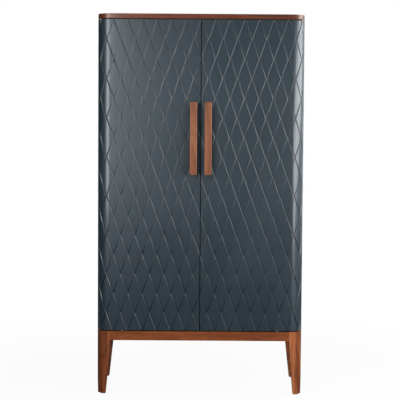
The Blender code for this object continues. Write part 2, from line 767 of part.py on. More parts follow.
def make_bushes():
    """Make the flanged bushes in the slab and in the front legs that hold the pins."""
    bore = PIVOT_RADIUS + FIT
    profile = [(bore, FLANGE_THICKNESS), (FLANGE_RADIUS, FLANGE_THICKNESS), (FLANGE_RADIUS, 0.0),
               (BUSH_RADIUS, 0.0), (BUSH_RADIUS, -PIVOT_BUSH_LENGTH), (bore, -PIVOT_BUSH_LENGTH),
               (bore, FLANGE_THICKNESS)]
    names, places = [], []
    for side_name, side in SIDES.items():
        ends = (("upper", SLAB_BOTTOM - FIT, DOWN), ("lower", BASE_HEIGHT + FIT, UP))
        for end_name, height, direction in ends:
            names.append(f"{side_name}_{end_name}_bush")
            places.append(axis_matrix(pivot_place(side, height), direction))
    for bush in add_copies(names, turned_mesh("pivot_bush", profile, ROUND_SIDES), places, "bronze"):
        shade_round(bush)


def make_handle(side_name, side):
    """Make a bar handle and the two posts that carry it on the door."""
    name = side_name + "_handle"
    centre = side * HANDLE_OFFSET
    back = FRONT - HANDLE_STANDOFF
    low = (centre - HANDLE_WIDTH / 2, back - HANDLE_THICKNESS, HANDLE_BASE)
    high = (centre + HANDLE_WIDTH / 2, back, HANDLE_BASE + HANDLE_LENGTH)
    bar = add_part(name, box_mesh(name, low, high), "walnut")
    bevel = bar.modifiers.new("Eased edges", "BEVEL")
    bevel.width = HANDLE_CHAMFER
    bevel.segments = 2
    bevel.limit_method = "ANGLE"
    bm = bmesh.new()
    for height in POST_HEIGHTS.values():
        add_rod(bm, (centre, back + OVERCUT, height), FORWARD, SPIGOT_BITE + OVERCUT + FIT,
                SPIGOT_RADIUS + FIT, HOLE_SIDES)
    sockets = add_cutter(name + "_sockets", finish_mesh(bm, name + "_sockets"))
    boolean(bar, sockets)
    shoulder = HANDLE_STANDOFF - 2 * FIT
    tip = shoulder + SPIGOT_BITE
    tail = -DOOR_THICKNESS - SPIGOT_TAIL
    profile = [(0.0, tip), (SPIGOT_RADIUS, tip), (SPIGOT_RADIUS, shoulder), (POST_RADIUS, shoulder),
               (POST_RADIUS, 0.0), (SPIGOT_RADIUS, 0.0), (SPIGOT_RADIUS, tail), (0.0, tail)]
    parts = [bar, sockets]
    for end_name, height in POST_HEIGHTS.items():
        post_name = f"{side_name}_{end_name}_post"
        mesh = turned_mesh(post_name, profile, ROUND_SIDES)
        mesh.transform(axis_matrix((centre, FRONT - FIT, height), FORWARD))
        post = add_part(post_name, mesh, "bronze")
        shade_round(post)
        parts.append(post)
    return parts


def make_strike(side_name, side):
    """Make the steel plate inside a door that the magnet holds."""
    middle = INNER_TOP - FIT - CATCH_HEIGHT / 2
    inner = FRONT + DOOR_THICKNESS + FIT
    low = (side * CATCH_OFFSET - STRIKE_WIDTH / 2, inner, middle - STRIKE_HEIGHT / 2)
    high = (side * CATCH_OFFSET + STRIKE_WIDTH / 2, inner + STRIKE_THICKNESS, middle + STRIKE_HEIGHT / 2)
    return add_part(side_name + "_strike", box_mesh(side_name + "_strike", low, high), "steel")


def make_catches():
    """Make the magnet catches under the top panel, each hollowed behind its front lip."""
    front = FRONT + DOOR_THICKNESS + STRIKE_THICKNESS + 2 * FIT
    top = INNER_TOP - FIT
    for side_name, side in SIDES.items():
        centre = side * CATCH_OFFSET
        name = side_name + "_catch"
        low = Vector((centre - CATCH_WIDTH / 2, front, top - CATCH_HEIGHT))
        high = Vector((centre + CATCH_WIDTH / 2, front + CATCH_DEPTH, top))
        housing = add_part(name, box_mesh(name, low, high), "plastic")
        recess_low = low + Vector((CATCH_LIP, -OVERCUT, CATCH_LIP))
        recess_high = Vector((high.x - CATCH_LIP, front + CATCH_LIP, high.z - CATCH_LIP))
        recess = box_mesh(name + "_recess", recess_low, recess_high)
        boolean(housing, add_cutter(name + "_recess", recess))


reset_scene()
PARTS = new_collection("storage_cabinet")
CUTTERS = new_collection("cutters")
make_top_slab()
make_legs()
make_rails()
make_corner_braces()
make_leg_bolts()
make_glides()
make_side_panels()
make_level_panels()
make_back_panel()
make_shelves()
make_doors()
make_bushes()
make_catches()
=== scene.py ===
"""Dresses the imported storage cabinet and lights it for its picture.

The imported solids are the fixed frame. The doors, handles, posts and eased wooden pieces
made here take the place of plainer solids of the same size, small fasteners are added,
and every other solid keeps its mesh and gets a finish. Metres, +Z up, front towards -Y.
"""

import logging
import math
from dataclasses import dataclass, field
from enum import Enum

import bmesh
import bpy
from mathutils import Matrix, Vector


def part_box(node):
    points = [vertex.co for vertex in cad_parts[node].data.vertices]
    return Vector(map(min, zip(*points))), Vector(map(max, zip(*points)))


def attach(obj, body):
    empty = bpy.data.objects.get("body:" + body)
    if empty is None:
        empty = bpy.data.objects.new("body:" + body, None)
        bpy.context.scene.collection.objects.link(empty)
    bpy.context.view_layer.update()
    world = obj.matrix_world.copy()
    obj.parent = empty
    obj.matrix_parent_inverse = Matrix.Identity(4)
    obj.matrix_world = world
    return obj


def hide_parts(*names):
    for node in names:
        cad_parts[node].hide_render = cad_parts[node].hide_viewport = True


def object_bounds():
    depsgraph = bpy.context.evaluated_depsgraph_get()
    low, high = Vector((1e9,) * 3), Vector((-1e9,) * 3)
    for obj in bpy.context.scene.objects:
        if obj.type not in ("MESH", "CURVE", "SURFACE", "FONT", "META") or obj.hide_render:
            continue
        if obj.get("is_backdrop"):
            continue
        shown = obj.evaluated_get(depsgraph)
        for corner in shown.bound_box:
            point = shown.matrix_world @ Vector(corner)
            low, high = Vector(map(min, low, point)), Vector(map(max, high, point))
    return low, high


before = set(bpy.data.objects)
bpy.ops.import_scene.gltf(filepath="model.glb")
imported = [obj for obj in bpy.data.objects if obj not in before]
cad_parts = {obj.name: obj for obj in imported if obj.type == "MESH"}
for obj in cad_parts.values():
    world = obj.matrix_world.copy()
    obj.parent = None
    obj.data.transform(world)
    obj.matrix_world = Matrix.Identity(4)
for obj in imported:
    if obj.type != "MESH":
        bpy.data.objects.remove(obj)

log = logging.getLogger("cabinet")
Mesh = bpy.types.Mesh
Object = bpy.types.Object
Material = bpy.types.Material
Socket = bpy.types.NodeSocket
Source = Socket | float | tuple[float, ...]
Colour = tuple[float, float, float]
Point = tuple[float, float, float]

MERGE = 0.00001
FLAT_ANGLE = math.radians(0.4)
SMOOTH_ANGLE = 42.0
EASED_ANGLE = 46.0
SHARP_ANGLE = 50.0
ORIGIN: Point = (0.0, 0.0, 0.0)
FRONT: Point = (0.0, -1.0, 0.0)
BACK: Point = (0.0, 1.0, 0.0)
DOWN: Point = (0.0, 0.0, -1.0)
WHITE: Colour = (1.0, 1.0, 1.0)


class Side(Enum):
    """A side of the cabinet, as seen from the front."""

    LEFT = -1
    RIGHT = 1

    @property
    def label(self) -> str:
        """The side's name in the names of pieces and bodies."""
        return self.name.lower()

    @property
    def door(self) -> str:
        """The body that swings on this side."""
        return f"{self.label}_door"


class Grain(Enum):
    """The direction in which a board's fibres run."""

    ACROSS = 0
    DEEP = 1
    UPRIGHT = 2

    def stretch(self, share: float) -> Point:
        """Return a scale that draws a pattern out along the fibres."""
        return tuple(share if axis == self.value else 1.0 for axis in range(3))


class NodeSheet:
    """A node tree in the making, with short ways to add nodes and join them."""

    def __init__(self, tree: bpy.types.NodeTree) -> None:
        """Start an empty sheet on a tree."""
        self.tree = tree
        tree.nodes.clear()

    def feed(self, socket: Socket, value: Source) -> None:
        """Join an input to the socket that feeds it, or set its value.

        Args:
            socket: The input.
            value: A socket, or a value in which a colour needs no alpha.
        """
        if isinstance(value, Socket):
            self.tree.links.new(value, socket)
            return
        if socket.type == "RGBA" and len(value) == 3:
            value = (*value, 1.0)
        socket.default_value = value

    def add(self, kind: str, inputs: dict[str | int, Source] | None = None,
            **settings: object) -> bpy.types.Node:
        """Add a node, set it up and join its inputs.

        Args:
            kind: Blender's name of the node's type.
            inputs: A socket or value for each input, by name or number.
            settings: The node's own settings.

        Returns:
            The new node.
        """
        node = self.tree.nodes.new(kind)
        for name, setting in settings.items():
            setattr(node, name, setting)
        for key, value in (inputs or {}).items():
            self.feed(node.inputs[key], value)
        return node

    def maths(self, operation: str, first: Source, second: Source = 0.0) -> Socket:
        """Return the result of a sum on one or two values."""
        return self.add("ShaderNodeMath", {0: first, 1: second}, operation=operation).outputs[0]

    def blend(self, share: Source, first: Source, second: Source, way: str = "MIX") -> Socket:
        """Return two colours mixed by a share in the given way."""
        settings = {"data_type": "RGBA", "blend_type": way, "clamp_factor": True}
        return self.add("ShaderNodeMix", {0: share, 6: first, 7: second}, **settings).outputs[2]

    def mix(self, share: Source, first: Source, second: Source) -> Socket:
        """Return two values mixed by a share."""
        inputs = {0: share, 2: first, 3: second}
        return self.add("ShaderNodeMix", inputs, data_type="FLOAT").outputs[0]

    def span(self, value: Source, low: float, high: float,
             new_low: float = 0.0, new_high: float = 1.0) -> Socket:
        """Return a value carried smoothly from one range to another, and held at its ends."""
        inputs = {0: value, 1: low, 2: high, 3: new_low, 4: new_high}
        return self.add("ShaderNodeMapRange", inputs, interpolation_type="SMOOTHSTEP").outputs[0]


class Surface(NodeSheet):
    """The node sheet of a material on a piece, with the noises that finishes share."""

    def __init__(self, name: str) -> None:
        """Make a material and its shader.

        Args:
            name: The material's name.
        """
        self.material = bpy.data.materials.new(name)
        self.material.use_nodes = True
        super().__init__(self.material.node_tree)
        self.shader = self.add("ShaderNodeBsdfPrincipled")
        self.add("ShaderNodeOutputMaterial", {"Surface": self.shader.outputs[0]})
        self.place = self.add("ShaderNodeTexCoord").outputs["Object"]

    def noise(self, scale: float, stretch: Point = (1.0, 1.0, 1.0), shift: Point = ORIGIN,
              detail: float = 3.0, roughness: float = 0.5, distortion: float = 0.0) -> Socket:
        """Return a noise over the piece's own coordinates.

        Args:
            scale: Lumps in a metre.
            stretch: The scale along each axis, below 1 where lumps are drawn out.
            shift: A move that gives the noise its own pattern.
            detail: How many finer layers there are.
            roughness: How strong those are.
            distortion: How much the pattern is bent.

        Returns:
            The noise, from 0 to 1.
        """
        spot = {"Vector": self.place, "Scale": stretch, "Location": shift}
        inputs = {"Vector": self.add("ShaderNodeMapping", spot).outputs[0], "Scale": scale,
                  "Detail": detail, "Roughness": roughness, "Distortion": distortion}
        return self.add("ShaderNodeTexNoise", inputs).outputs[0]

    def mark(self, name: str) -> Socket:
        """Return the mark that the piece's own faces carry under a name."""
        return self.add("ShaderNodeAttribute", attribute_name=name).outputs["Fac"]

    def raise_by(self, height: Socket, depth: float, under: Socket | None = None) -> Socket:
        """Return the normal of a surface that is raised by a height.

        Args:
            height: The height, from 0 to 1.
            depth: How far a height of 1 stands out.
            under: The normal of a raised surface below.

        Returns:
            The new normal.
        """
        inputs: dict[str | int, Source] = {"Height": height, "Distance": depth, "Strength": 1.0}
        if under is not None:
            inputs["Normal"] = under
        return self.add("ShaderNodeBump", inputs).outputs[0]

    def set(self, **inputs: Source) -> None:
        """Set or join the shader's inputs, with underscores for spaces in their names."""
        for name, value in inputs.items():
            self.feed(self.shader.inputs[name.replace("_", " ")], value)


def toned(colour: Colour, share: float) -> Colour:
    """Return a colour made darker or paler by a share."""
    return tuple(part * share for part in colour)


@dataclass(frozen=True)
class Finish:
    """A finish that is made once and shared by the pieces that have it."""

    name: str
    slot: str

    def material(self) -> Material:
        """Make the finish's material on first use.

        Returns:
            The material.
        """
        made = bpy.data.materials.get(self.name)
        if made is None:
            skin = Surface(self.name)
            self.paint(skin)
            made = skin.material
        return made

    def paint(self, skin: Surface) -> None:
        """Build the finish on a new material's sheet."""
        raise NotImplementedError


@dataclass(frozen=True)
class Walnut(Finish):
    """Satin oiled walnut with dark growth lines, streaks, fibres and open pores."""

    grain: Grain = Grain.ACROSS
    light: Colour = (0.295, 0.088, 0.0240)
    dark: Colour = (0.175, 0.044, 0.0105)
    gloss: float = 0.42
    specular: float = 0.36
    shift: Point = ORIGIN
    coat: float = 0.0
    coat_gloss: float = 0.13
    bend_scale: float = 5.0
    growth_lines: float = 150.0
    band_scale: float = 24.0
    streak_scale: float = 110.0
    fibre_scale: float = 620.0
    fibre_depth: float = 0.00005
    pore_scale: float = 1900.0
    pore_depth: float = 0.00010
    pore: Colour = (0.22, 0.16, 0.12)
    warm: Colour = (1.0, 0.80, 0.66)
    warm_scale: float = 6.0
    warm_shift: Point = (3.1, 1.7, 0.4)

    def paint(self, skin: Surface) -> None:
        """Build the wood from noises drawn out along its fibres.

        Args:
            skin: The new material's sheet.
        """
        along, shift = self.grain.stretch, self.shift
        bend = skin.noise(self.bend_scale, along(0.30), shift, detail=2.0, distortion=0.3)
        lines = skin.maths("SINE", skin.maths("MULTIPLY", bend, self.growth_lines))
        bands = skin.noise(self.band_scale, along(0.12), shift, detail=4.0, distortion=0.8)
        streaks = skin.noise(self.streak_scale, along(0.035), shift, roughness=0.6)
        fibres = skin.noise(self.fibre_scale, along(0.020), shift, detail=2.0, roughness=0.6)
        pores = skin.noise(self.pore_scale, along(0.050), shift, detail=1.0)
        pores = skin.span(pores, 0.60, 0.70)
        tone = skin.span(bands, 0.32, 0.68, 0.05, 0.80)
        tone = skin.maths("ADD", tone, skin.span(streaks, 0.32, 0.68, -0.22, 0.22))
        tone = skin.maths("ADD", tone, skin.span(fibres, 0.30, 0.70, -0.10, 0.14))
        lines = skin.maths("MULTIPLY", skin.span(lines, 0.10, 1.0), 0.24)
        colour = skin.blend(skin.maths("SUBTRACT", tone, lines), self.dark, self.light)
        warmth = skin.noise(self.warm_scale, along(0.4), self.warm_shift, detail=1.0)
        colour = skin.blend(skin.span(warmth, 0.35, 0.65, 0.0, 0.5), colour, self.warm, "MULTIPLY")
        colour = skin.blend(skin.maths("MULTIPLY", pores, 0.60), colour, self.pore, "MULTIPLY")
        colour = skin.blend(skin.maths("MULTIPLY", skin.mark("edge"), 0.30), colour, self.light)
        gloss = skin.span(streaks, 0.30, 0.70, self.gloss - 0.04, self.gloss + 0.06)
        gloss = skin.maths("ADD", gloss, skin.maths("MULTIPLY", pores, 0.18))
        fine = skin.raise_by(fibres, self.fibre_depth)
        normal = skin.raise_by(skin.maths("SUBTRACT", 1.0, pores), self.pore_depth, fine)
        skin.set(Base_Color=colour, Roughness=gloss, Normal=normal,
                 Specular_IOR_Level=self.specular, Coat_Weight=self.coat,
                 Coat_Roughness=self.coat_gloss)


@dataclass(frozen=True)
class Beech(Finish):
    """Plain planed beech with short flecks."""

    grain: Grain = Grain.DEEP
    light: Colour = (0.600, 0.420, 0.260)
    dark: Colour = (0.430, 0.270, 0.145)
    band_scale: float = 30.0
    fleck_scale: float = 520.0
    fleck_depth: float = 0.00008

    def paint(self, skin: Surface) -> None:
        """Build the wood from a soft band and rows of flecks.

        Args:
            skin: The new material's sheet.
        """
        bands = skin.noise(self.band_scale, self.grain.stretch(0.12))
        flecks = skin.noise(self.fleck_scale, self.grain.stretch(0.10), detail=1.0)
        flecks = skin.span(flecks, 0.62, 0.70, 0.0, 0.5)
        colour = skin.blend(skin.span(bands, 0.3, 0.7), self.dark, self.light)
        skin.set(Base_Color=skin.blend(flecks, colour, self.dark),
                 Roughness=skin.span(bands, 0.3, 0.7, 0.52, 0.64),
                 Normal=skin.raise_by(flecks, self.fleck_depth))


@dataclass(frozen=True)
class Lacquer(Finish):
    """Satin blue-grey lacquer with a fine sprayed texture, thinner along its edges, and painted
    shade on its groove walls.
    """

    colour: Colour = (0.0135, 0.0291, 0.0426)
    edge: Colour = (0.028, 0.046, 0.060)
    # Painted shade: the dark colour that stands in for the shade inside the grooves.
    groove: Colour = (0.0005, 0.0075, 0.0200)
    tint: Colour = (0.93, 0.985, 1.0)
    gloss: float = 0.432
    specular: float = 0.8125
    coat: float = 0.56
    coat_gloss: float = 0.13
    cloud_scale: float = 3.5
    smear_scale: float = 9.0
    smear_shift: Point = (2.0, 0.0, 5.0)
    peel_scale: float = 260.0
    peel_depth: float = 0.00004

    def paint(self, skin: Surface) -> None:
        """Build the coat from clouds of tone, a sprayed grain and marks on the faces, with painted
        shade on the groove walls.

        Args:
            skin: The new material's sheet.
        """
        # The mark of the groove walls, which get painted shade and a slightly lower roughness.
        groove = skin.mark("groove")
        clouds = skin.span(skin.noise(self.cloud_scale, detail=2.0), 0.35, 0.65)
        tone = skin.blend(clouds, toned(self.colour, 0.90), self.colour)
        # Painted shade: the groove walls are mostly painted the dark groove colour, in place of the
        # shade inside them.
        tone = skin.blend(skin.maths("MULTIPLY", groove, 0.9), tone, self.groove)
        tone = skin.blend(skin.maths("MULTIPLY", skin.mark("edge"), 0.5), tone, self.edge)
        smears = skin.noise(self.smear_scale, (1.0, 1.0, 0.4), self.smear_shift, detail=4.0)
        gloss = skin.span(smears, 0.35, 0.65, self.gloss - 0.02, self.gloss + 0.03)
        gloss = skin.maths("SUBTRACT", gloss, skin.maths("MULTIPLY", groove, 0.03))
        peel = skin.raise_by(skin.noise(self.peel_scale, detail=2.0), self.peel_depth)
        skin.set(Base_Color=tone, Roughness=gloss, Normal=peel, Specular_IOR_Level=self.specular,
                 Specular_Tint=self.tint, Coat_Weight=self.coat, Coat_Roughness=self.coat_gloss)


@dataclass(frozen=True)
class Board(Finish):
    """Matt grey faced board with a fine pressed grain."""

    colour: Colour = (0.110, 0.117, 0.126)
    speckle_scale: float = 700.0
    pressed_scale: float = 420.0
    pressed_depth: float = 0.00006

    def paint(self, skin: Surface) -> None:
        """Build the facing from a fine speckle and long pressed pores.

        Args:
            skin: The new material's sheet.
        """
        speckle = skin.span(skin.noise(self.speckle_scale, detail=2.0), 0.35, 0.65)
        pressed = skin.noise(self.pressed_scale, Grain.ACROSS.stretch(0.06), detail=2.0)
        tone = skin.blend(speckle, toned(self.colour, 0.82), self.colour)
        worn = skin.maths("MULTIPLY", skin.mark("edge"), 0.4)
        skin.set(Base_Color=skin.blend(worn, tone, toned(self.colour, 1.5)),
                 Roughness=skin.span(pressed, 0.35, 0.65, 0.50, 0.60),
                 Normal=skin.raise_by(pressed, self.pressed_depth))


@dataclass(frozen=True)
class Metal(Finish):
    """A plated or turned metal with fine scratches and faint stains."""

    colour: Colour = (0.560, 0.570, 0.580)
    stain: Colour = (0.420, 0.430, 0.450)
    gloss: float = 0.30
    stain_scale: float = 90.0
    scratch_scale: float = 1500.0
    scratch_depth: float = 0.00002

    def paint(self, skin: Surface) -> None:
        """Build the metal from stains and scratches.

        Args:
            skin: The new material's sheet.
        """
        stains = skin.span(skin.noise(self.stain_scale, detail=4.0), 0.40, 0.70)
        scratches = skin.noise(self.scratch_scale, (1.0, 1.0, 0.08), detail=1.0)
        rough = skin.span(scratches, 0.35, 0.65, self.gloss - 0.06, self.gloss + 0.08)
        skin.set(Base_Color=skin.blend(stains, self.colour, self.stain), Roughness=rough,
                  Metallic=1.0, Normal=skin.raise_by(scratches, self.scratch_depth))


@dataclass(frozen=True)
class Moulded(Finish):
    """Moulded plastic or felt with an even pitted texture."""

    colour: Colour = (0.050, 0.050, 0.055)
    gloss: float = 0.50
    pit_scale: float = 1400.0
    pit_depth: float = 0.00006
    scuff_scale: float = 120.0

    def paint(self, skin: Surface) -> None:
        """Build the material from small pits and scuffs.

        Args:
            skin: The new material's sheet.
        """
        pits = skin.noise(self.pit_scale, detail=2.0)
        scuffs = skin.noise(self.scuff_scale, detail=4.0, roughness=0.6)
        worn = skin.span(scuffs, 0.55, 0.75)
        skin.set(Base_Color=skin.blend(worn, self.colour, toned(self.colour, 1.35)),
                 Roughness=skin.span(scuffs, 0.35, 0.70, self.gloss - 0.04, self.gloss + 0.10),
                 Normal=skin.raise_by(pits, self.pit_depth))


WALNUT_ACROSS = Walnut("walnut_across", "walnut", Grain.ACROSS, shift=(0.49, 0.97, 0.10))
WALNUT_TOP = Walnut("walnut_top", "walnut", Grain.ACROSS,
                    (0.222, 0.057, 0.019), (0.078, 0.018, 0.006), 0.44, 0.42, coat=0.80)
WALNUT_DEEP = Walnut("walnut_deep", "walnut", Grain.DEEP)
WALNUT_UPRIGHT = Walnut("walnut_upright", "walnut", Grain.UPRIGHT,
                        (0.290, 0.086, 0.0235), (0.110, 0.024, 0.0050), shift=(0.15, 0.07, 0.40))
WALNUT_PALE = Walnut("walnut_pale", "walnut", Grain.UPRIGHT,
                     (0.440, 0.146, 0.0450), (0.150, 0.040, 0.0110), shift=(0.24, 0.41, 0.04))
WALNUT_HANDLE = Walnut("walnut_handle", "walnut", Grain.UPRIGHT, (0.360, 0.138, 0.0620),
                       (0.180, 0.060, 0.0260), 0.40, 0.42, (0.25, 0.85, 0.36))
BEECH = Beech("planed_beech", "beech")
LACQUER = Lacquer("blue_grey_lacquer", "lacquer")
BOARD = Board("grey_board", "board")
STEEL = Metal("zinc_steel", "steel")
BRONZE = Metal("satin_bronze", "bronze", (0.450, 0.300, 0.160), (0.300, 0.190, 0.100), 0.34)
PLASTIC = Moulded("dark_plastic", "plastic")
FELT = Moulded("grey_felt", "plastic", (0.110, 0.110, 0.115), 0.85, 700.0)


def placed(name: str, data: bpy.types.ID) -> Object:
    """Put a new object into the scene.

    Args:
        name: The object's name.
        data: Its mesh, light or camera.

    Returns:
        The object.
    """
    thing = bpy.data.objects.new(name, data)
    bpy.context.scene.collection.objects.link(thing)
    return thing


def taken(helper: Object) -> Mesh:
    """Take the mesh that a helper's modifiers make, and remove the helper.

    Args:
        helper: The object with the modifiers.

    Returns:
        The mesh.
    """
    bpy.context.view_layer.update()
    graph = bpy.context.evaluated_depsgraph_get()
    mesh = bpy.data.meshes.new_from_object(helper.evaluated_get(graph))
    bpy.data.objects.remove(helper, do_unlink=True)
    return mesh


def written(bm: bmesh.types.BMesh, mesh: Mesh) -> Mesh:
    """Write a bmesh into a mesh and free it.

    Args:
        bm: The bmesh.
        mesh: The mesh that takes its geometry.

    Returns:
        The same mesh.
    """
    bm.to_mesh(mesh)
    bm.free()
    return mesh


def solid(node: str) -> Mesh:
    """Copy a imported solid, with its loose triangles joined into faces.

    Args:
        node: The solid's name.

    Returns:
        A fresh mesh.
    """
    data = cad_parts[node].data
    mesh = bpy.data.meshes.new(f"{node}_copy")
    mesh.from_pydata([v.co for v in data.vertices], [], [tuple(p.vertices) for p in data.polygons])
    bm = bmesh.new()
    bm.from_mesh(mesh)
    bmesh.ops.remove_doubles(bm, verts=bm.verts, dist=MERGE)
    bmesh.ops.dissolve_limit(bm, angle_limit=FLAT_ANGLE, verts=bm.verts, edges=bm.edges)
    return written(bm, mesh)


def outward(bm: bmesh.types.BMesh, name: str) -> Mesh:
    """Turn a bmesh into a mesh whose doubles are merged and whose faces point outwards.

    Args:
        bm: The bmesh.
        name: The new mesh's name.

    Returns:
        The new mesh.
    """
    bmesh.ops.remove_doubles(bm, verts=bm.verts, dist=MERGE)
    bmesh.ops.recalc_face_normals(bm, faces=bm.faces)
    return written(bm, bpy.data.meshes.new(name))


def box_between(low: Vector, high: Vector) -> bmesh.types.BMesh:
    """Make a box.

    Args:
        low: Its lower corner.
        high: Its upper corner.

    Returns:
        A bmesh of the box.
    """
    bm = bmesh.new()
    middle = Matrix.Translation((low + high) / 2)
    bmesh.ops.create_cube(bm, size=1.0, matrix=middle @ Matrix.Diagonal((*(high - low), 1.0)))
    return bm


def block(name: str, low: Vector, high: Vector) -> Mesh:
    """Return the mesh of a box between two corners."""
    return outward(box_between(low, high), name)


def turned(name: str, profile: list[tuple[float, float]], sides: int) -> Mesh:
    """Turn a profile about Z.

    Args:
        name: The new mesh's name.
        profile: The (radius, height) points of the outline, where a ring ends as it begins.
        sides: How many faces go round.

    Returns:
        The new mesh.
    """
    bm = bmesh.new()
    rounds: dict[tuple[float, float], list[bmesh.types.BMVert]] = {}
    for radius, height in dict.fromkeys(profile):
        turns = [math.tau * step / sides for step in range(sides if radius else 1)]
        verts = [bm.verts.new((radius * math.cos(turn), radius * math.sin(turn), height))
                 for turn in turns]
        rounds[radius, height] = verts if radius else verts * sides
    for lower, upper in zip(profile, profile[1:]):
        for i, j in zip(range(sides), [*range(1, sides), 0]):
            loop = (rounds[lower][i], rounds[lower][j], rounds[upper][j], rounds[upper][i])
            bm.faces.new(tuple(dict.fromkeys(loop)))
    return outward(bm, name)


def stand(mesh: Mesh, place: Vector | Point, direction: Vector | Point) -> Mesh:
    """Move a mesh made along +Z into its place.

    Args:
        mesh: The mesh, which is changed.
        place: Where its origin goes.
        direction: Where its +Z points.

    Returns:
        The same mesh.
    """
    turn = Vector(direction).to_track_quat("Z", "Y").to_matrix().to_4x4()
    mesh.transform(Matrix.Translation(Vector(place)) @ turn)
    return mesh


def shaded(mesh: Mesh, angle: float = SMOOTH_ANGLE) -> Mesh:
    """Shade a mesh smoothly, with normals that keep its broad faces flat.

    Args:
        mesh: The mesh.
        angle: The turn in degrees above which an edge stays sharp.

    Returns:
        A new mesh.
    """
    mesh.shade_smooth()
    mesh.set_sharp_from_angle(angle=math.radians(angle))
    helper = placed("shading", mesh)
    helper.modifiers.new("Broad faces first", "WEIGHTED_NORMAL").keep_sharp = True
    return taken(helper)


def round_edges(helper: Object, width: float, segments: int, angle: float) -> bpy.types.Modifier:
    """Give a helper a modifier that rounds its sharp edges.

    Args:
        helper: The object.
        width: How far the rounding reaches from each edge.
        segments: How many faces make up the rounding.
        angle: The least turn of an edge that is rounded, in degrees.

    Returns:
        The modifier.
    """
    bevel = helper.modifiers.new("Eased edges", "BEVEL")
    bevel.width, bevel.segments = width, segments
    bevel.limit_method = "ANGLE"
    bevel.angle_limit = math.radians(angle)
    return bevel


def put_mark(mesh: Mesh, name: str, values: list[float]) -> None:
    """Store a number for each face, and give the mesh back one material slot.

    Args:
        mesh: The mesh.
        name: The name that the finishes read.
        values: The numbers.
    """
    mesh.attributes.new(name, "FLOAT", "FACE").data.foreach_set("value", values)
    for face in mesh.polygons:
        face.material_index = 0


def eased(mesh: Mesh, width: float, segments: int = 2, angle: float = SHARP_ANGLE) -> Mesh:
    """Round a mesh's sharp edges and mark the narrow faces that this makes.

    Args:
        mesh: The mesh, with its faces joined.
        width: How far the rounding reaches from each edge.
        segments: How many faces make up the rounding.
        angle: The least turn of an edge that is rounded, in degrees.

    Returns:
        A new shaded mesh whose rounded faces carry the mark "edge".
    """
    mesh.materials.clear()
    mesh.materials.append(None)
    mesh.materials.append(None)
    helper = placed("easing", mesh)
    bevel = round_edges(helper, width, segments, angle)
    bevel.miter_outer = "MITER_ARC"
    bevel.material = 1
    soft = taken(helper)
    put_mark(soft, "edge", [float(face.material_index == 1) for face in soft.polygons])
    return shaded(soft, EASED_ANGLE)


def cut(mesh: Mesh, cutters: list[Mesh], soften: float = 0.0) -> Mesh:
    """Cut meshes out of a mesh.

    Args:
        mesh: The mesh that is cut.
        cutters: The meshes that are taken away, one after another.
        soften: How wide the mesh's sharp edges are rounded before the cuts.

    Returns:
        The mesh that is left.
    """
    body = placed("cut", mesh)
    if soften:
        round_edges(body, soften, 2, SHARP_ANGLE)
    helpers = [placed("cutter", cutter) for cutter in cutters]
    for helper in helpers:
        modifier = body.modifiers.new("Cut", "BOOLEAN")
        modifier.object = helper
        modifier.solver = "EXACT"
    left = taken(body)
    for helper in helpers:
        bpy.data.objects.remove(helper, do_unlink=True)
    return left


def add_piece(name: str, mesh: Mesh, finish: Finish, body: str, *nodes: str) -> None:
    """Add a finished piece that rides on a body.

    Args:
        name: The piece's name.
        mesh: Its mesh, in place.
        finish: Its finish.
        body: The body that it moves with.
        nodes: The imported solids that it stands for.
    """
    mesh.name = name
    mesh.materials.clear()
    mesh.materials.append(finish.material())
    piece = placed(name, mesh)
    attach(piece, body)
    if nodes:
        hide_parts(*nodes)
    log.info("%s: %d faces, %s, on %s", name, len(mesh.polygons), finish.name, body)


def ease_node(node: str, suffix: str, finish: Finish, width: float, body: str = "root") -> None:
    """Let a copy with eased edges, named with a suffix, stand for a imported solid."""
    add_piece(f"{node}_{suffix}", eased(solid(node), width), finish, body, node)


def dress(node: str, finish: Finish) -> None:
    """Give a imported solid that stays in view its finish.

    Args:
        node: The solid's name.
        finish: The finish.
    """
    solid_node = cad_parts[node]
    if not solid_node.material_slots:
        solid_node.data.materials.append(None)
    for place in solid_node.material_slots:
        place.material = finish.material()
    log.info("%s: packed solid, %s", node, finish.name)


def middle_of(node: str) -> Vector:
    """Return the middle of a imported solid's box."""
    low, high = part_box(node)
    return (low + high) / 2


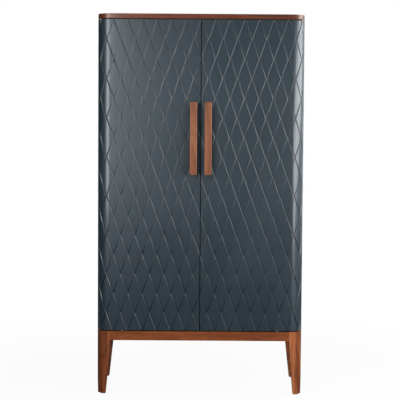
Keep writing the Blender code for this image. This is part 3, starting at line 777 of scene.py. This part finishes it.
class GrowthTree:
    """A Geometry Nodes tree with named inputs that ends in plain geometry with a finish."""

    def __init__(self, name: str, **inputs: str) -> None:
        """Start a tree.

        Args:
            name: The tree's name.
            inputs: The kind of socket for each input between the geometry and the finish.
        """
        self.tree = bpy.data.node_groups.new(name, "GeometryNodeTree")
        self.sheet = NodeSheet(self.tree)
        kinds = {"Geometry": "Geometry", **inputs, "Finish": "Material"}
        for label, kind in kinds.items():
            self.tree.interface.new_socket(label, in_out="INPUT", socket_type=f"NodeSocket{kind}")
        self.tree.interface.new_socket("Geometry", in_out="OUTPUT",
                                       socket_type="NodeSocketGeometry")
        self.given = self.sheet.add("NodeGroupInput").outputs

    def line(self, start: Socket, step: Socket) -> Socket:
        """Return a straight row of points, as many as the input Count says."""
        inputs = {"Count": self.given["Count"], "Start Location": start, "Offset": step}
        return self.sheet.add("GeometryNodeMeshLine", inputs, mode="OFFSET").outputs[0]

    def copies(self, points: Socket, piece: Socket, **more: Source) -> Socket:
        """Return copies of a piece on points."""
        inputs = {"Points": points, "Instance": piece, **more}
        return self.sheet.add("GeometryNodeInstanceOnPoints", inputs).outputs[0]

    def close(self, geometry: Socket) -> None:
        """End the tree: instances become a mesh and take the finish.

        Args:
            geometry: What the tree has made.
        """
        real = self.sheet.add("GeometryNodeRealizeInstances", {0: geometry}).outputs[0]
        inputs = {"Geometry": real, "Material": self.given["Finish"]}
        done = self.sheet.add("GeometryNodeSetMaterial", inputs).outputs[0]
        self.sheet.add("NodeGroupOutput", {0: done})

    def run(self, mesh: Mesh, finish: Finish, **values: object) -> Mesh:
        """Run the tree on a mesh.

        Args:
            mesh: The geometry that goes in.
            finish: The finish of what comes out.
            values: A value for each other input.

        Returns:
            The plain mesh that comes out.
        """
        values["Finish"] = finish.material()
        helper = placed(self.tree.name, mesh)
        modifier = helper.modifiers.new(self.tree.name, "NODES")
        modifier.node_group = self.tree
        for item in self.tree.interface.items_tree:
            if item.in_out == "INPUT" and item.name in values:
                modifier[item.identifier] = values[item.name]
        return taken(helper)


def row_tree() -> GrowthTree:
    """Make the tree that repeats a piece in a straight row.

    Returns:
        The tree.
    """
    growth = GrowthTree("row_of_pieces", Count="Int", Start="Vector", Step="Vector")
    given = growth.given
    points = growth.line(given["Start"], given["Step"])
    growth.close(growth.copies(points, given["Geometry"]))
    return growth


def path_tree() -> GrowthTree:
    """Make the tree that sets copies of a piece along a path at an even spacing.

    Returns:
        The tree.
    """
    growth = GrowthTree("pieces_on_path", Piece="Object", Spacing="Float")
    given, sheet = growth.given, growth.sheet
    path = sheet.add("GeometryNodeMeshToCurve", {0: given["Geometry"]}).outputs[0]
    spread = {"Curve": path, "Length": given["Spacing"]}
    points = sheet.add("GeometryNodeResampleCurve", spread, mode="LENGTH").outputs[0]
    piece = sheet.add("GeometryNodeObjectInfo", {"Object": given["Piece"]}).outputs["Geometry"]
    growth.close(growth.copies(points, piece))
    return growth


def groove_tree() -> GrowthTree:
    """Make the tree that lays leaning groove bars side by side along a door.

    Returns:
        The tree.
    """
    growth = GrowthTree("groove_bars", Count="Int", First="Float", Pitch="Float",
                        Lean="Float", Top="Float")
    given = growth.given
    start, step, lean = (growth.sheet.add("ShaderNodeCombineXYZ", parts).outputs[0] for parts in (
        {0: given["First"], 2: given["Top"]}, {0: given["Pitch"]}, {1: given["Lean"]}))
    growth.close(growth.copies(growth.line(start, step), given["Geometry"], Rotation=lean))
    return growth


def bend_tree() -> GrowthTree:
    """Make the tree that carries a flat door's points round the cabinet's front corner.

    X runs along the flat door and Y into it. Before the bend a point keeps its place, in
    the bend it turns about the corner's axis, and past it the door runs straight on.

    Returns:
        The tree.
    """
    growth = GrowthTree("bend_round_corner", Start="Float", Front="Float", Radius="Float",
                        Angle="Float")
    given, sheet, maths = growth.given, growth.sheet, growth.sheet.maths
    start, radius = given["Start"], given["Radius"]
    spot = sheet.add("GeometryNodeInputPosition").outputs[0]
    parts = sheet.add("ShaderNodeSeparateXYZ", {0: spot}).outputs
    along = maths("SUBTRACT", parts[0], start)
    turn = maths("MAXIMUM", maths("DIVIDE", along, radius), 0.0)
    turn = maths("MINIMUM", turn, given["Angle"])
    rest = maths("SUBTRACT", along, maths("MULTIPLY", turn, radius))
    reach = maths("SUBTRACT", radius, parts[1])
    sine, cosine = maths("SINE", turn), maths("COSINE", turn)
    x = maths("ADD", maths("MULTIPLY", reach, sine), maths("MULTIPLY", rest, cosine))
    y = maths("SUBTRACT", maths("MULTIPLY", rest, sine), maths("MULTIPLY", reach, cosine))
    y = maths("ADD", y, maths("ADD", given["Front"], radius))
    place = sheet.add("ShaderNodeCombineXYZ", {0: maths("ADD", x, start), 1: y, 2: parts[2]})
    moved = {"Geometry": given["Geometry"], "Position": place.outputs[0]}
    growth.close(sheet.add("GeometryNodeSetPosition", moved).outputs[0])
    return growth


@dataclass
class Fasteners:
    """The screws that the solids leave out, and rows of them and of other small pieces."""

    head_radius: float = 0.0038
    head_depth: float = 0.0016
    head_rim: float = 0.0003
    head_rise: float = 0.0002
    root_share: float = 0.45
    flat_share: float = 0.55
    slot_width: float = 0.0011
    slot_share: float = 0.62
    slot_depth: float = 0.4
    sides: int = 20
    rows: GrowthTree = field(default_factory=row_tree)
    paths: GrowthTree = field(default_factory=path_tree)

    def screw(self, direction: Vector | Point, lift: float = 0.0) -> Mesh:
        """Make a countersunk head with a cross cut into it.

        Args:
            direction: Where the head faces.
            lift: How far it stands out, or in where this is negative.

        Returns:
            The head at the origin.
        """
        radius, depth, rise = self.head_radius, self.head_depth, self.head_rise
        head = turned("screw", [(0.0, -depth), (radius * self.root_share, -depth),
                                (radius, -self.head_rim), (radius, 0.0),
                                (radius * self.flat_share, rise), (0.0, rise)], self.sides)
        arm, half, bottom = radius * self.slot_share, self.slot_width / 2, -depth * self.slot_depth
        cross = [block("slot", Vector((-x, -y, bottom)), Vector((x, y, depth)))
                 for x, y in ((arm, half), (half, arm))]
        return stand(cut(head, cross), Vector(direction) * lift, direction)

    def row(self, name: str, piece: Mesh, start: Vector, step: Vector, finish: Finish,
            body: str = "root", count: int = 2) -> None:
        """Set copies of a piece in a row on a body.

        Args:
            name: The row's name.
            piece: The piece, turned as it will stand, at the origin.
            start: Where the first one goes.
            step: The way from each one to the next.
            finish: Their finish.
            body: The body that they ride on.
            count: How many there are.
        """
        made = self.rows.run(piece, finish, Count=count, Start=tuple(start), Step=tuple(step))
        add_piece(name, shaded(made), finish, body)

    def along(self, path: Mesh, piece: Mesh, spacing: float, finish: Finish) -> Mesh:
        """Set copies of a piece along a path.

        Args:
            path: The path, of edges alone.
            piece: The piece.
            spacing: About how far apart the copies are.
            finish: Their finish.

        Returns:
            The copies as one mesh.
        """
        sample = placed("sample", piece)
        made = self.paths.run(path, finish, Piece=sample, Spacing=spacing)
        bpy.data.objects.remove(sample, do_unlink=True)
        return made


@dataclass
class Base:
    """The walnut frame of four legs and four rails, with its beech braces."""

    fasteners: Fasteners
    ease: float = 0.0012
    brace_ease: float = 0.0008
    screw_share: float = 0.32
    strip_gap: float = 0.0006
    strip_height: float = 0.006
    strip_depth: float = 0.009
    pale_corner: str = "front_right"

    def build(self) -> None:
        """Dress the legs, rails, braces, bolts and glides."""
        for node, finish in (("front_rail", WALNUT_ACROSS), ("back_rail", WALNUT_ACROSS),
                             ("left_rail", WALNUT_DEEP), ("right_rail", WALNUT_DEEP)):
            ease_node(node, "board", finish, self.ease / 2)
        self.dust_strips()
        ease_node("cross_brace", "bar", BEECH, self.brace_ease)
        for end in ("front", "rear"):
            for side in Side:
                self.corner(f"{end}_{side.label}")

    def dust_strips(self) -> None:
        """Lay felt strips behind the front rail, which close the slit under the bottom panel."""
        rail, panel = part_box("front_rail")[1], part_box("bottom_panel")[0]
        middle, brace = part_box("cross_brace")[1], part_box("front_right_brace")[0]
        for side in Side:
            near, far = sorted((side.value * (middle.x + self.strip_gap),
                                side.value * (brace.x - self.strip_gap)))
            low = Vector((near, rail.y, panel.z - self.strip_height))
            high = Vector((far, rail.y + self.strip_depth, panel.z))
            strip = eased(block("strip", low, high), self.strip_gap / 2)
            add_piece(f"{side.label}_dust_strip", strip, FELT, "root")

    def corner(self, corner: str) -> None:
        """Dress one leg and the brace, bolt, screws and glide that go with it.

        Args:
            corner: The corner's name in the names of its pieces.
        """
        ease_node(f"{corner}_leg", "post",
                  WALNUT_PALE if corner == self.pale_corner else WALNUT_UPRIGHT, self.ease)
        ease_node(f"{corner}_brace", "block", BEECH, self.brace_ease)
        dress(f"{corner}_leg_bolt", STEEL)
        dress(f"{corner}_glide", PLASTIC)
        self.brace_screws(corner)

    def brace_screws(self, corner: str) -> None:
        """Set a screw near each end of a brace's inner face.

        Args:
            corner: The brace's corner.
        """
        brace = f"{corner}_brace"
        low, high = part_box(brace)
        middle = middle_of(brace)
        inward = Vector((-math.copysign(1.0, middle.x), -math.copysign(1.0, middle.y), 0.0))
        inward.normalize()
        face = max((v.co - middle).dot(inward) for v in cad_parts[brace].data.vertices)
        sideways = Vector((inward.y, -inward.x, 0.0))
        reach = (high.x - low.x) * self.screw_share
        start = middle + inward * face - sideways * reach
        self.fasteners.row(f"{corner}_brace_screws", self.fasteners.screw(inward), start,
                           sideways * 2 * reach, STEEL)


@dataclass
class Top:
    """The walnut slab and the bronze bushes let into it."""

    ease: float = 0.0018
    ease_faces: int = 3

    def build(self) -> None:
        """Dress the slab and every bush."""
        slab = eased(solid("top_slab"), self.ease, self.ease_faces)
        add_piece("top_board", slab, WALNUT_TOP, "root", "top_slab")
        for side in Side:
            for end in ("upper", "lower"):
                dress(f"{side.label}_{end}_bush", BRONZE)


@dataclass
class Carcass:
    """The side, level and back panels, the shelves on their pins, and the catches."""

    fasteners: Fasteners
    ease: float = 0.0007
    catch_ease: float = 0.0008
    catch_inset: float = 0.007
    catch_shift: float = 0.006
    catch_sink: float = 0.0001
    back_angle: float = 80.0
    sink: float = 0.0004
    sink_share: float = 1.12
    sink_top: float = 0.001
    screw_inset: float = 0.0065
    screw_spacing: float = 0.145
    sleeve_outer: float = 0.0044
    sleeve_inner: float = 0.0029
    sleeve_wall: float = 0.0003
    sleeve_height: float = 0.0005
    sleeve_foot: float = -0.0002
    sleeve_end: float = -0.002
    hole_pitch: float = 0.032
    hole_count: int = 3

    def build(self) -> None:
        """Dress the panels, shelves, pins and catches."""
        for side in Side:
            ease_node(f"{side.label}_side", "panel", LACQUER, self.ease)
        for node in ("bottom_panel", "top_panel", "lower_shelf", "middle_shelf", "upper_shelf"):
            ease_node(node, "board", BOARD, self.ease)
        self.back()
        for level in ("lower", "upper"):
            for end in ("front", "rear"):
                for side in Side:
                    place = f"{level}_{end}_{side.label}"
                    dress(f"{place}_pin", STEEL)
                    self.sleeves(place, side)
        for side in Side:
            self.catch(side)

    def back(self) -> None:
        """Make the back panel with a row of sunk screws round its edge."""
        low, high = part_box("back_panel")
        inset, parts = self.screw_inset, self.fasteners
        left, right, lower, upper = low.x + inset, high.x - inset, low.z + inset, high.z - inset
        corners = [(x, high.y, z) for x, z in ((left, lower), (right, lower), (right, upper),
                                               (left, upper))]
        path = bpy.data.meshes.new("screw_path")
        path.from_pydata(corners, [(0, 1), (1, 2), (2, 3), (3, 0)], [])
        radius, bottom = parts.head_radius, -parts.head_depth - self.sink
        rim = radius * self.sink_share
        sinker = turned("sinker", [(0.0, bottom), (radius * parts.root_share, bottom), (rim, 0.0),
                                   (rim, self.sink_top), (0.0, self.sink_top)], parts.sides)
        sinkers = parts.along(path, stand(sinker, ORIGIN, BACK), self.screw_spacing, STEEL)
        panel = eased(cut(solid("back_panel"), [sinkers]), self.ease / 2, 1, self.back_angle)
        add_piece("back_board", panel, BOARD, "root", "back_panel")
        screws = parts.along(path, parts.screw(BACK, -self.sink), self.screw_spacing, STEEL)
        add_piece("back_screws", shaded(screws), STEEL, "root")

    def sleeves(self, place: str, side: Side) -> None:
        """Set a sleeve round each hole of one row of pin holes.

        Args:
            place: The row's place in the names of its pieces.
            side: Its side.
        """
        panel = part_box(f"{side.label}_side")
        face = panel[0].x if side is Side.RIGHT else panel[1].x
        inner, outer, height = self.sleeve_inner, self.sleeve_outer, self.sleeve_height
        ring = turned("sleeve", [
            (inner, self.sleeve_end), (inner, height), (outer * 0.94, height),
            (outer, height * 0.6), (outer, self.sleeve_foot),
            (inner + self.sleeve_wall, self.sleeve_foot),
            (inner + self.sleeve_wall, self.sleeve_end), (inner, self.sleeve_end)],
            self.fasteners.sides)
        stand(ring, ORIGIN, (-float(side.value), 0.0, 0.0))
        pin = middle_of(f"{place}_pin")
        self.fasteners.row(f"{place}_sleeves", ring, Vector((face, pin.y, pin.z - self.hole_pitch)),
                           Vector((0.0, 0.0, self.hole_pitch)), STEEL, count=self.hole_count)

    def catch(self, side: Side) -> None:
        """Dress a magnet catch and set its two screws under it.

        Args:
            side: Its side.
        """
        node = f"{side.label}_catch"
        ease_node(node, "housing", PLASTIC, self.catch_ease)
        low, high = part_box(node)
        start = Vector((low.x + self.catch_inset, (low.y + high.y) / 2 + self.catch_shift,
                        low.z - self.catch_sink))
        step = Vector((high.x - low.x - 2 * self.catch_inset, 0.0, 0.0))
        self.fasteners.row(f"{node}_screws", self.fasteners.screw(DOWN), start, step, STEEL)


@dataclass
class Door:
    """A door panel grooved with diamonds and bent round the front corner."""

    thickness: float = 0.022
    corner_radius: float = 0.060
    bend_angle: float = math.radians(82.0)
    bend_faces: int = 36
    nose_flat: float = 0.002
    nose_faces: int = 12
    ease: float = 0.0009
    diamond_width: float = 0.070
    diamond_height: float = 0.1884
    groove_half_width: float = 0.0026
    groove_depth: float = 0.0022
    shoulder: float = 0.0009
    shoulder_steps: tuple[tuple[float, float], ...] = ((0.1, 0.10), (0.9, 0.30))
    wall_normals: tuple[float, float] = (-0.97, -0.5)
    flat_normal: float = 0.99
    smooth_angle: float = 35.0
    rows: GrowthTree = field(default_factory=groove_tree)
    bend: GrowthTree = field(default_factory=bend_tree)

    def __post_init__(self) -> None:
        """Take the door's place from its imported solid."""
        self.low, self.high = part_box("right_door")
        self.bend_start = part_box("top_slab")[1].x - self.corner_radius
        self.bend_length = self.corner_radius * self.bend_angle
        self.nose = self.bend_start + self.bend_length + self.thickness / 2

    def build(self) -> None:
        """Make the right door, and the left one as its mirror image."""
        right = self.panel()
        left = right.copy()
        left.transform(Matrix.Diagonal((-1.0, 1.0, 1.0, 1.0)))
        left.flip_normals()
        for side, mesh in ((Side.RIGHT, right), (Side.LEFT, left)):
            panel = shaded(mesh, self.smooth_angle)
            add_piece(f"{side.door}_panel", panel, LACQUER, side.door, side.door)

    def blank(self) -> Mesh:
        """Make the flat door with its far edge rounded.

        Returns:
            The door, X along it and Y into it.
        """
        bm = box_between(Vector((self.low.x, 0.0, self.low.z)),
                         Vector((self.nose, self.thickness, self.high.z)))
        far = [edge for edge in bm.edges
               if all(vert.co.x > self.nose - self.ease for vert in edge.verts)
               and abs(edge.verts[0].co.z - edge.verts[1].co.z) > self.thickness]
        bmesh.ops.bevel(bm, geom=far, offset=(self.thickness - self.nose_flat) / 2,
                        segments=self.nose_faces, profile=0.5, affect="EDGES")
        return outward(bm, "door_blank")

    def groove_bar(self) -> Mesh:
        """Make an upright bar whose section is a groove with rounded shoulders.

        Returns:
            The bar.
        """
        half, depth, soft = self.groove_half_width, self.groove_depth, self.shoulder
        section = [(half + soft, -depth), (half + soft, 0.0)]
        section += [(half - share * soft, depth * down) for share, down in self.shoulder_steps]
        section.append((0.0, depth))
        section += [(-x, y) for x, y in reversed(section[:-1])]
        reach = (self.high.z - self.low.z) + self.diamond_height
        bm = bmesh.new()
        upper, lower = ([bm.verts.new((x, y, z)) for x, y in section]
                        for z in (self.diamond_height, -1.1 * reach))
        bm.faces.new(upper)
        bm.faces.new(lower[::-1])
        for i in range(len(section)):
            j = (i + 1) % len(section)
            bm.faces.new((upper[i], lower[i], lower[j], upper[j]))
        return outward(bm, "groove_bar")

    def grooves(self, falls: int) -> Mesh:
        """Make the bars of one family of grooves.

        Args:
            falls: 1 for those that fall to the right, -1 for those that fall to the left.

        Returns:
            The bars as one mesh.
        """
        lean = math.atan2(self.diamond_width, self.diamond_height)
        run = (self.high.z - self.low.z) * math.tan(lean)
        before = math.ceil(run / self.diamond_width) if falls > 0 else 0
        after = math.ceil((self.nose + (run if falls < 0 else 0.0)) / self.diamond_width)
        return self.rows.run(self.groove_bar(), LACQUER, Count=before + after + 1,
                             First=-before * self.diamond_width, Pitch=self.diamond_width,
                             Lean=-falls * lean, Top=self.high.z)

    def panel(self) -> Mesh:
        """Groove the flat door, divide it along its bend, mark its faces and bend it.

        Returns:
            The bent door.
        """
        flat = cut(self.blank(), [self.grooves(1), self.grooves(-1)], self.ease)
        bm = bmesh.new()
        bm.from_mesh(flat)
        for step in range(self.bend_faces + 1):
            station = self.bend_start + self.bend_length * step / self.bend_faces
            bmesh.ops.bisect_plane(bm, geom=bm.verts[:] + bm.edges[:] + bm.faces[:],
                                   dist=MERGE / 10, plane_co=(station, 0.0, 0.0),
                                   plane_no=(1.0, 0.0, 0.0))
        bmesh.ops.remove_doubles(bm, verts=bm.verts, dist=MERGE)
        mesh = written(bm, bpy.data.meshes.new("flat_door"))
        # The groove mark tells the lacquer where to paint shade on the groove walls.
        for name, test in (("groove", self.in_groove), ("edge", self.on_edge)):
            put_mark(mesh, name, [float(test(face)) for face in mesh.polygons])
        return self.bend.run(mesh, LACQUER, Start=self.bend_start, Front=self.low.y,
                             Radius=self.corner_radius, Angle=self.bend_angle)

    def in_groove(self, face: bpy.types.MeshPolygon) -> bool:
        """Tell whether a face of the flat door is a groove's wall."""
        slanted = self.wall_normals[0] < face.normal.y < self.wall_normals[1]
        return slanted and face.center.x < self.nose - self.thickness / 2 and not self.on_edge(face)

    def on_edge(self, face: bpy.types.MeshPolygon) -> bool:
        """Tell whether a face of the flat door belongs to its rounded outer edges.

        Args:
            face: The face.

        Returns:
            Whether it does.
        """
        reach = self.ease * 1.01
        middle = face.center
        near = (middle.x < self.low.x + reach or middle.z < self.low.z + reach
                or middle.z > self.high.z - reach)
        return near and max(abs(part) for part in face.normal) < self.flat_normal


@dataclass
class DoorFurniture:
    """What is fixed to a door: handle, posts, nuts, pivot pins, strike plate and buffers."""

    fasteners: Fasteners
    bar_ease: float = 0.0040
    bar_faces: int = 4
    post_radius: float = 0.006
    post_sides: int = 32
    foot_radius: float = 0.0078
    foot_height: float = 0.0018
    nut_radius: float = 0.0056
    nut_height: float = 0.0052
    nut_sides: int = 24
    washer_height: float = 0.0007
    plate_ease: float = 0.0004
    plate_inset: float = 0.006
    plate_lift: float = 0.00005
    buffer_radius: float = 0.0045
    buffer_height: float = 0.0022
    buffer_x: float = 0.245

    def build(self) -> None:
        """Fit out both doors."""
        for side in Side:
            self.handle(side)
            self.posts(side)
            self.strike(side)
            self.buffers(side)
            for end in ("upper", "lower"):
                node = f"{side.label}_{end}_pivot"
                add_piece(f"{node}_pin", shaded(solid(node)), STEEL, side.door, node)

    def handle(self, side: Side) -> None:
        """Make the bar handle with softly rounded edges.

        Args:
            side: The door's side.
        """
        node = f"{side.label}_handle"
        bar = eased(block(node, *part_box(node)), self.bar_ease, self.bar_faces)
        add_piece(f"{node}_bar", bar, WALNUT_HANDLE, side.door, node)

    def posts(self, side: Side) -> None:
        """Make the turned posts under the bar, and the nuts inside the door that hold them.

        Args:
            side: The door's side.
        """
        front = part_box(side.door)[0].y
        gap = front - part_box(f"{side.label}_handle")[1].y
        radius, foot, height = self.post_radius, self.foot_radius, self.foot_height
        profile = [(0.0, 0.0), (foot, 0.0), (foot, height * 2 / 3), (foot * 0.93, height),
                   (radius * 0.86, 0.0030), (radius * 0.80, gap * 0.40),
                   (radius * 0.84, gap * 0.75), (radius, gap - 0.0016), (radius, gap), (0.0, gap)]
        heights = []
        for end in ("lower", "upper"):
            node = f"{side.label}_{end}_post"
            middle = middle_of(node)
            heights.append(middle.z)
            post = stand(turned(node, profile, self.post_sides), (middle.x, front, middle.z), FRONT)
            add_piece(f"{node}_turned", shaded(post), BRONZE, side.door, node)
        self.fasteners.row(f"{side.label}_handle_nuts", stand(self.nut(), ORIGIN, BACK),
                           Vector((middle.x, front + Door.thickness, heights[0])),
                           Vector((0.0, 0.0, heights[1] - heights[0])), BRONZE, side.door)

    def nut(self) -> Mesh:
        """Make a domed nut on a washer.

        Returns:
            The nut, along +Z.
        """
        radius, height, washer = self.nut_radius, self.nut_height, self.nut_radius * 1.5
        return turned("cap_nut", [
            (0.0, 0.0), (washer, 0.0), (washer, self.washer_height),
            (radius, self.washer_height + 0.0002), (radius, height * 0.5),
            (radius * 0.86, height * 0.78), (radius * 0.5, height * 0.95), (0.0, height)],
            self.nut_sides)

    def strike(self, side: Side) -> None:
        """Dress the strike plate and set its two screws.

        Args:
            side: The door's side.
        """
        node = f"{side.label}_strike"
        ease_node(node, "plate", STEEL, self.plate_ease, side.door)
        low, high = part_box(node)
        self.fasteners.row(f"{node}_screws", self.fasteners.screw(BACK, self.plate_lift),
                           Vector((low.x + self.plate_inset, high.y, (low.z + high.z) / 2)),
                           Vector((high.x - low.x - 2 * self.plate_inset, 0.0, 0.0)),
                           STEEL, side.door)

    def buffers(self, side: Side) -> None:
        """Set a felt buffer inside the door at its top and bottom, against the level panels.

        Args:
            side: The door's side.
        """
        bottom, top = middle_of("bottom_panel").z, middle_of("top_panel").z
        radius, height = self.buffer_radius, self.buffer_height
        dot = turned("buffer", [(0.0, 0.0), (radius, 0.0), (radius, height * 0.7),
                                (radius * 0.85, height), (0.0, height)], self.fasteners.sides)
        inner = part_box(side.door)[0].y + Door.thickness
        self.fasteners.row(f"{side.label}_buffers", stand(dot, ORIGIN, BACK),
                           Vector((side.value * self.buffer_x, inner, bottom)),
                           Vector((0.0, 0.0, top - bottom)), FELT, side.door)


@dataclass
class Softbox:
    """A soft rectangular lamp aimed at the cabinet."""

    name: str
    place: Point
    aim: Point
    width: float
    height: float
    radiance: float
    roll: float = 0.0

    def build(self) -> None:
        """Hang the lamp, with the power that gives its face the radiance."""
        data = bpy.data.lights.new(self.name, "AREA")
        data.shape = "RECTANGLE"
        data.size, data.size_y = self.width, self.height
        data.energy = self.radiance * math.pi * self.width * self.height
        lamp = placed(self.name, data)
        direction = Vector(self.aim) - Vector(self.place)
        turn = direction.to_track_quat("-Z", "Y").to_matrix().to_4x4()
        lamp.matrix_world = (Matrix.Translation(Vector(self.place)) @ turn
                             @ Matrix.Rotation(self.roll, 4, "Z"))
        lamp.visible_camera = False
        log.info("%s: %.1f x %.1f m", self.name, self.width, self.height)


def seen(sheet: NodeSheet) -> tuple[Socket, Socket]:
    """Tell a sheet what kind of ray meets it.

    Args:
        sheet: The world's or a material's sheet.

    Returns:
        Whether the ray is the camera's, and whether it is a gloss or glass ray.
    """
    path = sheet.add("ShaderNodeLightPath").outputs
    mirrored = sheet.maths("MAXIMUM", path["Is Glossy Ray"], path["Is Transmission Ray"])
    return path["Is Camera Ray"], mirrored


@dataclass
class Studio:
    """The camera, the lamps, the pale floor and the world round the cabinet."""

    camera_place: Point = (-0.0118, -5.708, 1.2381)
    pitch: float = 0.05220
    roll: float = 0.00678
    yaw: float = -0.00180
    lens: float = 102.51
    sensor: float = 36.0
    far_end: float = 60.0
    fill: float = 0.15
    rear_fill: float = 0.65
    gloss_fill: float = 0.01
    floor_colour: Colour = (0.86, 0.86, 0.86)
    floor_tone: float = 0.93
    floor_gloss: float = 0.06
    floor_fade: tuple[float, float] = (0.7, 2.6)
    floor_low: Point = (-6.0, -0.7, 0.0)
    floor_high: Point = (6.0, 8.0, 0.0)
    lamps: tuple[Softbox, ...] = (
        Softbox("left_softbox", (-1.0024, -1.725, 1.480), (0.0, -0.2, 1.1), 0.90, 1.419, 5.90),
        Softbox("right_softbox", (1.983, -1.138, 1.471), (0.0, -0.2, 1.1), 0.98, 3.477, 6.75,
                -1.191),
    )

    def build(self) -> None:
        """Set the studio up."""
        self.camera()
        self.world()
        self.floor()
        for lamp in self.lamps:
            lamp.build()
        bpy.context.scene.view_settings.view_transform = "Standard"

    def camera(self) -> None:
        """Put the camera where the picture was taken from."""
        data = bpy.data.cameras.new("camera")
        data.lens = self.lens
        data.sensor_width = self.sensor
        data.clip_end = self.far_end
        camera = placed("camera", data)
        turn = (Matrix.Rotation(self.yaw, 4, "Z")
                @ Matrix.Rotation(math.pi / 2 - self.pitch, 4, "X")
                @ Matrix.Rotation(self.roll, 4, "Z"))
        camera.matrix_world = Matrix.Translation(Vector(self.camera_place)) @ turn
        bpy.context.scene.camera = camera

    def world(self) -> None:
        """Make a world that is white to the camera, dim in front and brighter behind."""
        world = bpy.data.worlds.new("studio")
        bpy.context.scene.world = world
        world.use_nodes = True
        sheet = NodeSheet(world.node_tree)
        camera, mirrored = seen(sheet)
        direction = sheet.add("ShaderNodeTexCoord").outputs["Generated"]
        x, y, _ = sheet.add("ShaderNodeSeparateXYZ", {0: direction}).outputs
        rear = sheet.span(y, 0.05, 0.45)
        bright = sheet.maths("MULTIPLY", rear, sheet.span(x, -0.1, 0.5))
        fill = sheet.mix(mirrored, sheet.mix(rear, self.fill, self.rear_fill), self.gloss_fill)
        white = sheet.maths("MAXIMUM", camera, sheet.maths("MULTIPLY", mirrored, bright))
        light = {"Color": WHITE, "Strength": sheet.mix(white, fill, 1.0)}
        backdrop = sheet.add("ShaderNodeBackground", light)
        sheet.add("ShaderNodeOutputWorld", {"Surface": backdrop.outputs[0]})

    def floor(self) -> None:
        """Lay a pale floor that is near white to the camera and keeps a faint shadow."""
        (x0, y0, z), (x1, y1, _) = self.floor_low, self.floor_high
        mesh = bpy.data.meshes.new("floor")
        mesh.from_pydata([(x0, y0, z), (x1, y0, z), (x1, y1, z), (x0, y1, z)], [], [(0, 1, 2, 3)])
        material = bpy.data.materials.new("pale_floor")
        material.use_nodes = True
        sheet = NodeSheet(material.node_tree)
        camera, mirrored = seen(sheet)
        spot = sheet.add("ShaderNodeTexCoord").outputs["Object"]
        reach = sheet.add("ShaderNodeVectorMath", {0: spot}, operation="LENGTH").outputs["Value"]
        tone = sheet.span(reach, *self.floor_fade, self.floor_tone, 1.0)
        white = sheet.maths("MAXIMUM", sheet.maths("MULTIPLY", camera, tone), mirrored)
        strength = sheet.mix(mirrored, 1.0, self.floor_gloss)
        paint = sheet.add("ShaderNodeBsdfDiffuse", {"Color": self.floor_colour}).outputs[0]
        glow = sheet.add("ShaderNodeEmission", {"Strength": strength}).outputs[0]
        mixed = sheet.add("ShaderNodeMixShader", {0: white, 1: paint, 2: glow}).outputs[0]
        sheet.add("ShaderNodeOutputMaterial", {"Surface": mixed})
        mesh.materials.append(material)
        placed("floor", mesh)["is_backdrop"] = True


def corners(box: tuple[Vector, Vector]) -> list[list[float]]:
    """Return a box's two corners as plain lists."""
    return [list(corner) for corner in box]


def main() -> None:
    """Build the cabinet's sub-assemblies and the studio."""
    logging.basicConfig(level=logging.INFO, format="%(message)s", force=True)
    packed = corners(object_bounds())
    fasteners = Fasteners()
    for assembly in (Studio(), Base(fasteners), Carcass(fasteners), Top(), Door(),
                     DoorFurniture(fasteners)):
        assembly.build()
    {"packed": packed, "dressed": corners(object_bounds())}


if __name__ == "__main__":
    main()
